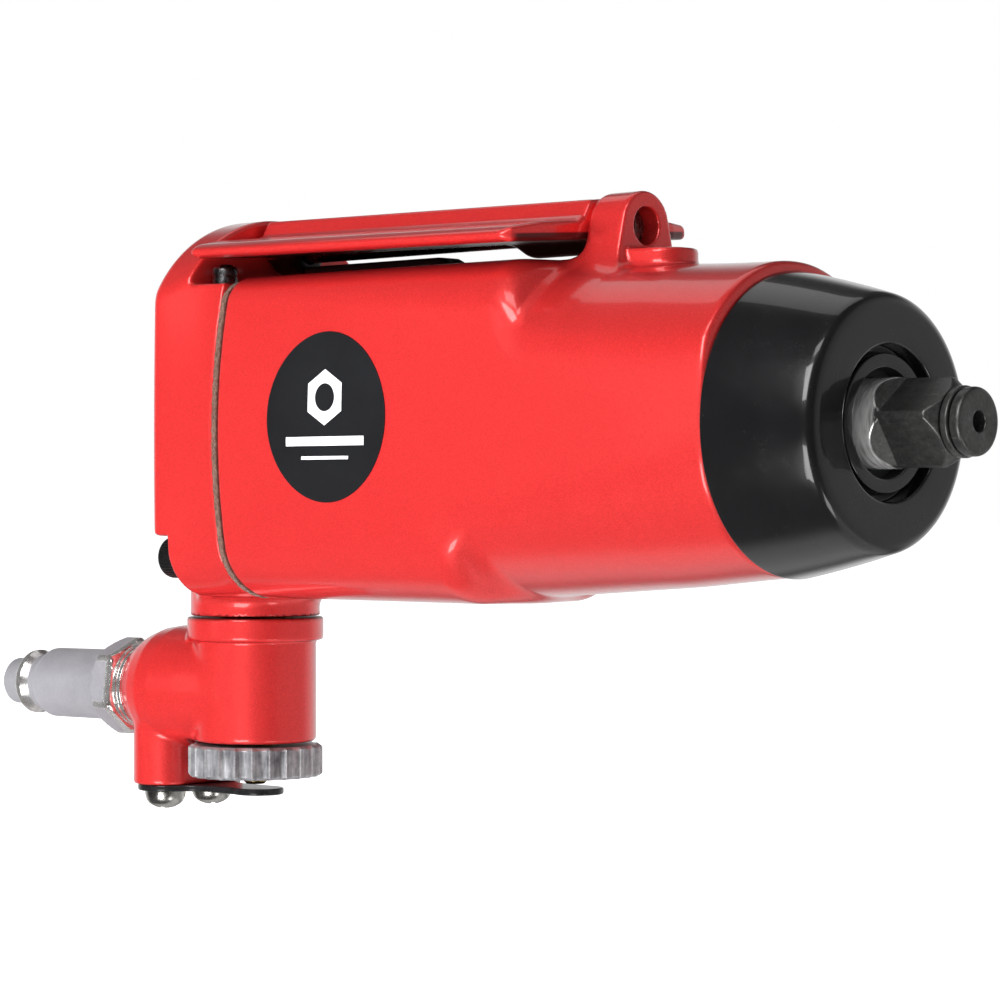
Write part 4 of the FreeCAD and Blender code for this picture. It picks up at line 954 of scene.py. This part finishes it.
hexp = [(7.5, l) for l in (25.8, 25.95, 26.1, 26.3, 26.6, 27.0, 27.6, 28.2, 28.7, 29.1, 29.4, 29.7, 29.95, 30.2, 30.45, 30.65, 30.85, 31.0)]
prof = [(2.4, 12.2), (4.9, 12.2), (5.2, 12.8), (5.2, 23.9), (7.0, 23.9), (7.0, 24.6), (6.7, 24.8), (7.0, 25.0), (7.0, 25.6), (6.75, 25.8)]
rads = [0.1, 0.1, 0.1, 0.05, 0.2, 0.05, 0.05, 0.05, 0.15, 0.0]
prof += hexp
rads += [0.0] * len(hexp)
prof += [(6.05, 31.15), (6.0, 32.2), (5.95, 44.6), (4.7, 46.4), (4.7, 47.4), (5.5, 48.6), (5.5, 49.4), (3.95, 51.2), (3.95, 53.8),
         (3.15, 54.7), (2.4, 54.7)]
rads += [0.1, 0.5, 1.3, 0.8, 0.3, 0.25, 0.35, 0.5, 0.7, 0.5, 0.2]
prof = densify(round_profile(prof, rads, 6), 2.5)
v, q = spin(prof, 180, AX, IN0, hex_r, start=HEX0)
plug = mesh_object("inlet_nipple", v, q, "swivel", MATS["nickel"], ("inlet_plug",))
dl = (v - np.array(IN0)) @ ex
th = np.arctan2((v - np.array(IN0)) @ ez, (v - np.array(IN0)) @ ey)
rv = np.hypot((v - np.array(IN0)) @ ey, (v - np.array(IN0)) @ ez)
ring_b = sstep(47.2, 47.7, dl) * (1 - sstep(50.9, 51.5, dl))
hexb = (1 - sstep(26.6, 27.6, dl)) + 0.0 * dl
arr = sstep(0.90, 0.985, np.cos(3 * (th - HEX0)) ** 2) * (dl > 25.7) * (dl < 31.1)
bright = np.clip(np.maximum(np.maximum(ring_b, hexb), 0.8 * arr), 0, 1)
at = plug.data.attributes.new("bright", "FLOAT", "POINT")
at.data.foreach_set("value", bright.astype(np.float32))
weighted(plug, 26)

# ------------------------------------------------------------------ regulator knob
NF = 24


def flute(R, L, T):
    t = np.mod(T * NF / (2 * math.pi), 1.0)
    u = np.abs(2 * t - 1)
    depth = 0.62 * (1 - smax(u, 0 * u + 0.12, 0.1) ** 2.4)
    depth = depth - 0.05 * sstep(0.86, 1.0, u)
    fade = sstep(9.2, 10.5, R)
    return R - depth * fade


prof = [(2.4, -56.4), (10.55, -56.4), (11.1, -55.95), (11.1, -51.55), (10.55, -51.1), (2.4, -51.1)]
prof = densify(round_profile(prof, [0.2, 0.35, 0.3, 0.3, 0.35, 0.2], 5), 0.9)
v, q = spin(prof, NF * 14, "z", (-145.0, 0, 0), flute)
knob = mesh_object("regulator_knob_cast", v, q, "regulator", MATS["knob_metal"], ("regulator_knob",))
rk = np.hypot(v[:, 0] + 145.0, v[:, 1])
at = knob.data.attributes.new("ridge", "FLOAT", "POINT")
at.data.foreach_set("value", sstep(10.75, 11.08, rk).astype(np.float32))
weighted(knob, 45)

# ------------------------------------------------------------------ plate screws: domed pan heads with a cross recess
for i, sy in enumerate((1, -1)):
    cx, cy = -145.0 - 16.8, 5.2 * sy
    tw = math.radians(22 if sy < 0 else 61)

    def f_pan(x, y, z, cx=cx, cy=cy, tw=tw):
        u, w = x - cx, y - cy
        r = np.hypot(u, w)
        h = -59.4 - z
        dome = np.hypot(r, h + 1.25) - 4.40
        head = smax(smax(dome, r - 3.45, 0.9), -h, 0.15)
        shank = np.maximum(r - 1.45, np.maximum(-9.2 - h, h - 0.3))
        f = np.minimum(head, shank)
        a, b = u * math.cos(tw) + w * math.sin(tw), -u * math.sin(tw) + w * math.cos(tw)
        dep = h - 3.05
        wa = np.maximum(np.abs(a) - (1.95 + 0.45 * dep), np.abs(b) - (0.42 + 0.10 * dep))
        wb = np.maximum(np.abs(b) - (1.95 + 0.45 * dep), np.abs(a) - (0.42 + 0.10 * dep))
        cross = np.minimum(np.minimum(wa, wb), r - (0.95 + 0.5 * dep))
        cross = np.maximum(cross, 1.2 - h)
        return smax(f, -cross, 0.12)

    field_piece("plate_screw_%d" % (i + 1), f_pan, seg((cx - 3.7, cx + 3.7, 0.115)), seg((cy - 3.7, cy + 3.7, 0.115)),
                seg((-62.9, -59.1, 0.11), (-59.1, -50.1, 0.5)), "swivel", MATS["zinc_screw"],
                ("plate_screws",) if i == 0 else (), probe=0.22, reach=0.15)

# ------------------------------------------------------------------ regulator plate: pressed strip with a rounded tongue
def f_plate(x, y, z):
    u = x + 145.0
    pad = np.hypot(u + 16.6, np.maximum(np.abs(y) - 4.9, 0)) - 4.95
    tongue = np.hypot(u - 0.9, y) - 4.1
    t = np.clip((u + 15.0) / 16.0, 0, 1)
    neck = np.maximum(np.abs(y) - (6.2 - 2.4 * sstep(0.0, 0.55, t)), np.maximum(-15.0 - u, u - 0.9))
    plan = smin(smin(pad, neck, 2.5), tongue, 0.6)
    f = smax(plan, np.abs(z + 58.85 + 0.0 * x) - 0.55, 0.35)
    for sy in (1, -1):
        f = np.maximum(f, 1.55 - np.hypot(u + 16.8, y - 5.2 * sy))
    return f


plate = field_piece("regulator_strip", f_plate, seg((-167.0, -139.2, 0.24)), seg((-10.4, 10.4, 0.24)), seg((-59.7, -58.0, 0.17)),
                    "swivel", MATS["black_plate"], ("regulator_plate",), probe=0.25, reach=0.2)

# ------------------------------------------------------------------ cover screws: socket heads with a hexagon recess
for i, (yy, zz, sr_) in enumerate([(a * sg, b, c) for a, b, c in SCREWS for sg in (1, -1)]):
    tw = 0.35 + 0.8 * i

    def f_cap(x, y, z, yy=yy, zz=zz, tw=tw, sr_=sr_):
        L = -x - (0.7 if zz < 0 else 0.0) * (x < -130)
        r = np.hypot(y - yy, z - zz)
        th = np.arctan2(z - zz, y - yy)
        kn = 0.05 * np.cos(th * 36) * (1 - sstep(146.2, 146.5, L)) * sstep(143.5, 143.8, L)
        head = smax(smax(r - 3.38 - kn, L - 147.0, 0.7), 143.0 - L, 0.1)
        shank = np.maximum(r - sr_, np.maximum(115.0 - L, L - 143.2))
        f = np.minimum(head, shank)
        a, b = y - yy, z - zz
        hexa = np.maximum.reduce([np.abs(a * math.cos(tw + k * math.pi / 3) + b * math.sin(tw + k * math.pi / 3)) for k in range(3)]) - 1.5
        sock = np.maximum(np.minimum(hexa, r - 1.95 + (147.0 - L) * 1.0), 144.6 - L)
        return smax(f, -sock, 0.12)

    field_piece("cover_screw_%d" % (i + 1), f_cap, seg((-148.1, -142.6, 0.16), (-142.6, -114.2, 1.6)),
                seg((yy - 3.7, yy + 3.7, 0.16)), seg((zz - 3.7, zz + 3.7, 0.16)), "tool_body", MATS["black_screw"],
                ("cover_screws",) if i == 0 else (), probe=0.25, reach=0.15)


# ------------------------------------------------------------------ valve buttons
for i, (sy, body_name, node, top) in enumerate(((1, "forward_valve", "forward_valve_stem", 28.0),
                                                (-1, "reverse_valve", "reverse_valve_stem", 27.2))):
    prof = [(0.0001, 4.0), (2.7, 4.0), (2.7, 6.5), (1.5, 7.6), (1.5, 10.6), (2.0, 11.2), (2.0, top - 2.1), (1.86, top - 1.95),
            (2.0, top - 1.8), (2.0, top - 0.7), (1.1, top - 0.1), (0.0001, top)]
    prof = densify(round_profile(prof, [0, 0.2, 0.2, 0.1, 0.1, 0.1, 0.05, 0.05, 0.05, 0.6, 0.8, 0], 5), 1.2)
    v, q = spin(prof, 56, "z", (-134.9, 15.7 * sy, 0))
    ob = mesh_object("valve_button_%d" % (i + 1), v, q, body_name, MATS["gunmetal"], (node,))
    weighted(ob, 35)


# ------------------------------------------------------------------ valve springs
def coil(name, node, cx, cy):
    turns, wire, n, m = 8.6 / 1.55, 0.32, 240, 14
    a = np.linspace(0, 2 * math.pi * turns, n)
    radial = np.stack([np.cos(a), np.sin(a), np.zeros(n)], 1)
    rise = 1.55 / (2 * math.pi * 2.2)
    along = np.stack([-np.sin(a), np.cos(a), np.full(n, rise)], 1)
    along /= np.linalg.norm(along, axis=1)[:, None]
    across = np.cross(along, radial)
    mid = np.stack([cx + 2.2 * np.cos(a), cy + 2.2 * np.sin(a), -5.4 + 1.55 * a / (2 * math.pi)], 1)
    t = np.linspace(0, 2 * math.pi, m, endpoint=False)
    pts = mid[:, None, :] + wire * (np.cos(t)[None, :, None] * radial[:, None, :] + np.sin(t)[None, :, None] * across[:, None, :])
    verts = [tuple(p_) for p_ in pts.reshape(-1, 3)]
    faces = [(i * m + k, i * m + (k + 1) % m, (i + 1) * m + (k + 1) % m, (i + 1) * m + k) for i in range(n - 1) for k in range(m)]
    faces += [tuple(range(m))[::-1], tuple((n - 1) * m + k for k in range(m))]
    ob = mesh_object(name, np.array(verts), faces, NODES_BODY[node], MATS["spring_steel"], (node,))
    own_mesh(ob)
    return ob


NODES_BODY = {"forward_valve_spring": "tool_body", "reverse_valve_spring": "tool_body"}
coil("forward_spring_coil", "forward_valve_spring", -134.9, 15.7)
coil("reverse_spring_coil", "reverse_valve_spring", -134.9, -15.7)


# ------------------------------------------------------------------ gasket with a rough fibrous edge
def f_gasket(x, y, z):
    th = np.arctan2(z, y)
    fuzz = 0.10 * hash_noise(th * 61, x * 3.0, 0.4) + 0.05 * hash_noise(th * 171, x * 7.0, 1.7)
    outline = grip_section(np.full_like(x, -131.2), y, z, LEDGE + 0.25, 3.6, 8.3)
    f = outline - 0.02 - np.clip(fuzz, -0.12, 0.16)
    f = smax(f, np.abs(x + 131.175) - 0.56, 0.2)
    r = np.hypot(y, z)
    f = np.maximum(f, 19.5 - r)
    ay = np.abs(y)
    for sy, sz, sr in SCREWS:
        f = np.maximum(f, sr + 0.1 - np.hypot(ay - sy, z - sz))
    return f


gasket = field_piece("gasket_sheet", f_gasket, seg((-131.95, -130.4, 0.155)),
                     seg((-21.95, -14, 0.22), (-14, 14, 0.4), (14, 21.95, 0.22)),
                     seg((-26.8, -16, 0.22), (-16, 16, 0.34), (16, 24.7, 0.22)), "tool_body", MATS["gasket_fibre"],
                     ("rear_gasket",), probe=0.1, reach=0.12)


# ------------------------------------------------------------------ badge: thin film on the crowned side, plain printed mark
def side_at(x, z):
    return -(HALF - crown(np.asarray(x, float)) * np.asarray(z, float) ** 2 / 210.0)


BX, BZ, BR = -105.5, 2.1, 13.1
rr = np.concatenate([np.linspace(0.0, 12.9, 22), [13.0, 13.07, 13.1, 13.1]])
hh = np.concatenate([np.full(22, 0.16), [0.15, 0.12, 0.06, -0.05]])
na = 128
verts = [(BX, float(side_at(BX, BZ)) - 0.16, BZ)]
for r_, h_ in zip(rr[1:], hh[1:]):
    for k in range(na):
        t = 2 * math.pi * k / na
        px, pz = BX + r_ * math.cos(t), BZ + r_ * math.sin(t)
        verts.append((px, float(side_at(px, pz)) - h_, pz))
faces = [(0, 1 + k, 1 + (k + 1) % na) for k in range(na)]
for i in range(len(rr) - 2):
    for k in range(na):
        a = 1 + i * na + k
        b = 1 + i * na + (k + 1) % na
        faces.append((a, a + na, b + na, b))
back = len(verts)
verts.append((BX, float(side_at(BX, BZ)) + 0.05, BZ))
last = 1 + (len(rr) - 2) * na
faces += [(back, last + (k + 1) % na, last + k) for k in range(na)]
badge = mesh_object("badge_film", np.array(verts), faces, "tool_body", MATS["badge"], ("side_badge",))
bmn = bmesh.new()
bmn.from_mesh(badge.data)
bmesh.ops.recalc_face_normals(bmn, faces=bmn.faces)
bmn.to_mesh(badge.data)
bmn.free()
weighted(badge, 40)


def print_patch(name, outer, inner=None, h=0.19):
    """A flat printed shape on the badge, from plan outlines in (x, z); inner makes a hole."""
    bm = bmesh.new()

    def loop(pts, off):
        return [bm.verts.new(((BX + px) * MM, (float(side_at(BX + px, BZ + pz)) - off) * MM, (BZ + pz) * MM)) for px, pz in pts]

    def strip(a, b):
        n = len(a)
        for i in range(n):
            bm.faces.new((a[i], a[(i + 1) % n], b[(i + 1) % n], b[i]))

    if inner is None:
        o, ob = loop(outer, h), loop(outer, 0.12)
        n = len(o) // 2
        for i in range(n - 1):
            bm.faces.new((o[i], o[i + 1], o[-2 - i], o[-1 - i]))
            bm.faces.new((ob[-1 - i], ob[-2 - i], ob[i + 1], ob[i]))
        strip(o, ob)
    else:
        o, i_, ob, ib = loop(outer, h), loop(inner, h), loop(outer, 0.12), loop(inner, 0.12)
        strip(o, i_)
        strip(ib, ob)
        strip(ob, o)
        strip(i_, ib)
    bmesh.ops.recalc_face_normals(bm, faces=bm.faces)
    me = bpy.data.meshes.new(name)
    bm.to_mesh(me)
    bm.free()
    me.materials.append(MATS["badge_white"])
    ob_ = bpy.data.objects.new(name, me)
    scene.collection.objects.link(ob_)
    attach(ob_, "tool_body")
    return ob_


def hexagon(rad, n=96, cx=0.0, cz=3.0, soft=0.25):
    pts = []
    for k in range(n):
        t = 2 * math.pi * k / n
        a = (t + math.pi / 6) % (math.pi / 3) - math.pi / 6
        hr = rad * math.cos(math.pi / 6) / math.cos(a)
        pts.append((cx + hr * math.cos(t), cz + hr * math.sin(t)))
    return pts


def circle_pts(rad, n=96, cx=0.0, cz=3.0):
    return [(cx + rad * math.cos(2 * math.pi * k / n), cz + rad * math.sin(2 * math.pi * k / n)) for k in range(n)]


def bar(x0, x1, z0, z1, n=16):
    lo = [(x0 + (x1 - x0) * i / n, z0) for i in range(n + 1)]
    hi = [(x1 - (x1 - x0) * i / n, z1) for i in range(n + 1)]
    return lo + hi


print_patch("badge_mark_nut", hexagon(4.3), circle_pts(2.15))
print_patch("badge_mark_bar", bar(-8.6, 8.6, -4.4, -3.0))
print_patch("badge_mark_line", bar(-5.2, 5.2, -6.5, -6.0))

# ------------------------------------------------------------------ finish of the frame's own nodes
for name_, ob_ in NODES.items():
    key = NODE_SLOT.get(name_)
    mat = MATS.get(key) or MATS["ground_steel"]
    if key in ("red_paint",):
        mat = PLAIN_RED
    ob_.data.materials.clear()
    ob_.data.materials.append(mat)


# ------------------------------------------------------------------ studio
def plain_stage(name, verts, faces, mat):
    me = bpy.data.meshes.new(name)
    me.from_pydata(verts, [], faces)
    me.materials.append(mat)
    ob = bpy.data.objects.new(name, me)
    scene.collection.objects.link(ob)
    return ob


fl = Mat("studio_floor")
fl_n = fl.noise(5, 3, 0.5)
fl.set(color=fl.ramp(fl_n, [(0.3, (0.86, 0.86, 0.865)), (0.7, (0.90, 0.90, 0.905))]), rough=0.6, spec=0.2,
       normal=fl.bump(fl.noise(400, 3, 0.5), 0.02, 0.0002))
fl.b.inputs["Emission Color"].default_value = (1.0, 1.0, 1.0, 1.0)
fl.b.inputs["Emission Strength"].default_value = 0.95
n = 64
verts = [(-0.1 + 6.0 * math.cos(2 * math.pi * k / n), 6.0 * math.sin(2 * math.pi * k / n), -0.0634) for k in range(n)]
floor = plain_stage("studio_floor", verts, [tuple(range(n))], fl.m)
floor.visible_glossy = False
floor.visible_shadow = False

# surroundings: white above, below and behind, dim at eye level on the working side
w = bpy.data.worlds.new("studio")
scene.world = w
w.use_nodes = True
nt = w.node_tree
nt.nodes.clear()
out = nt.nodes.new("ShaderNodeOutputWorld")
tc = nt.nodes.new("ShaderNodeTexCoord")
sep = nt.nodes.new("ShaderNodeSeparateXYZ")
nt.links.new(tc.outputs["Generated"], sep.inputs[0])


def wmath(op, a, b=None, clamp=False):
    n_ = nt.nodes.new("ShaderNodeMath")
    n_.operation = op
    n_.use_clamp = clamp
    for i, v_ in enumerate((a, b)):
        if v_ is None:
            continue
        if isinstance(v_, (int, float)):
            n_.inputs[i].default_value = v_
        else:
            nt.links.new(v_, n_.inputs[i])
    return n_.outputs[0]


def wstep(v_, a, b, c, d):
    n_ = nt.nodes.new("ShaderNodeMapRange")
    n_.interpolation_type = "SMOOTHSTEP"
    for i, x_ in enumerate((a, b, c, d)):
        n_.inputs[i + 1].default_value = x_
    nt.links.new(v_, n_.inputs[0])
    return n_.outputs[0]


az = math.radians(43.4)
vx, vy = -math.sin(az), math.cos(az)
along_view = wmath("ADD", wmath("MULTIPLY", sep.outputs[0], vx), wmath("MULTIPLY", sep.outputs[1], vy))
level_gate = wstep(wmath("ABSOLUTE", sep.outputs[2]), 0.30, 0.58, 1.0, 0.0)
back = wmath("MULTIPLY", wstep(along_view, 0.25, 0.85, 0.0, 0.95), level_gate)
low = wmath("MULTIPLY", wstep(sep.outputs[2], -0.50, -0.72, 0.0, 0.52), wstep(sep.outputs[1], -0.06, 0.22, 0.0, 1.0))
level = wstep(wmath("ABSOLUTE", sep.outputs[2]), 0.25, 0.75, 0.045, 0.09)
right = wstep(wmath("ADD", wmath("MULTIPLY", sep.outputs[0], 0.75), wmath("MULTIPLY", sep.outputs[1], 0.66)), 0.55, 0.92, 0.0, 0.34)
env = wmath("ADD", wmath("ADD", low, wmath("ADD", back, level)), right)
bg_light = nt.nodes.new("ShaderNodeBackground")
nt.links.new(env, bg_light.inputs["Strength"])
bg_seen = nt.nodes.new("ShaderNodeBackground")
bg_seen.inputs["Color"].default_value = (1.0, 1.0, 1.0, 1.0)
bg_seen.inputs["Strength"].default_value = 1.0
lp = nt.nodes.new("ShaderNodeLightPath")
mx = nt.nodes.new("ShaderNodeMixShader")
nt.links.new(lp.outputs["Is Camera Ray"], mx.inputs[0])
nt.links.new(bg_light.outputs[0], mx.inputs[1])
nt.links.new(bg_seen.outputs[0], mx.inputs[2])
nt.links.new(mx.outputs[0], out.inputs["Surface"])


def soft_box(name, azimuth, elevation, distance, sx, sy, power, centre=(-0.09, 0.0, 0.0), glossy=True, diffuse=True):
    a, e = math.radians(azimuth), math.radians(elevation)
    d = Vector((math.sin(a) * math.cos(e), -math.cos(a) * math.cos(e), math.sin(e)))
    ld = bpy.data.lights.new(name, "AREA")
    ld.shape = "RECTANGLE"
    ld.size, ld.size_y = sx, sy
    ld.energy = power
    ob = bpy.data.objects.new(name, ld)
    ob.location = Vector(centre) + d * distance
    ob.rotation_euler = d.to_track_quat("Z", "Y").to_euler()
    scene.collection.objects.link(ob)
    ob.visible_glossy = glossy
    ob.visible_diffuse = diffuse
    ob.visible_camera = False
    return ob


soft_box("gloss_high", 17, 31, 0.80, 0.34, 0.40, 2.9, diffuse=False)
soft_box("gloss_low", 17, -31, 0.80, 0.34, 0.40, 2.6, diffuse=False)
soft_box("over_right", 34, 57, 0.80, 0.30, 0.16, 0.55, diffuse=False)
soft_box("low_right", 82, -45, 0.80, 0.20, 0.20, 0.45, diffuse=False)
sheet = soft_box("sheet_behind", 115, 62, 0.90, 1.00, 0.44, 0.85)
sheet.location = (-0.42, 0.28, 0.80)
sheet.rotation_euler = (0.0, 0.0, 0.0)
soft_box("key", -24, 6, 0.95, 0.45, 0.45, 12.5, glossy=False)
soft_box("key_top", 10, 62, 0.95, 0.50, 0.50, 2.0, glossy=False)
soft_box("fill_front", 66, 10, 1.1, 0.6, 0.6, 1.3, glossy=False)

# ------------------------------------------------------------------ camera
cd = bpy.data.cameras.new("camera")
cd.lens = 114.5
cd.sensor_width = 36.0
cd.clip_start = 0.01
cam = bpy.data.objects.new("camera", cd)
cam.location = (0.2478, -0.3562, -0.0106)
cam.rotation_euler = (math.radians(90), 0.0, az)
scene.collection.objects.link(cam)
scene.camera = cam
scene.view_settings.view_transform = "Standard"
scene.view_settings.look = "None"
scene.view_settings.exposure = 0.0
scene.view_settings.gamma = 1.0
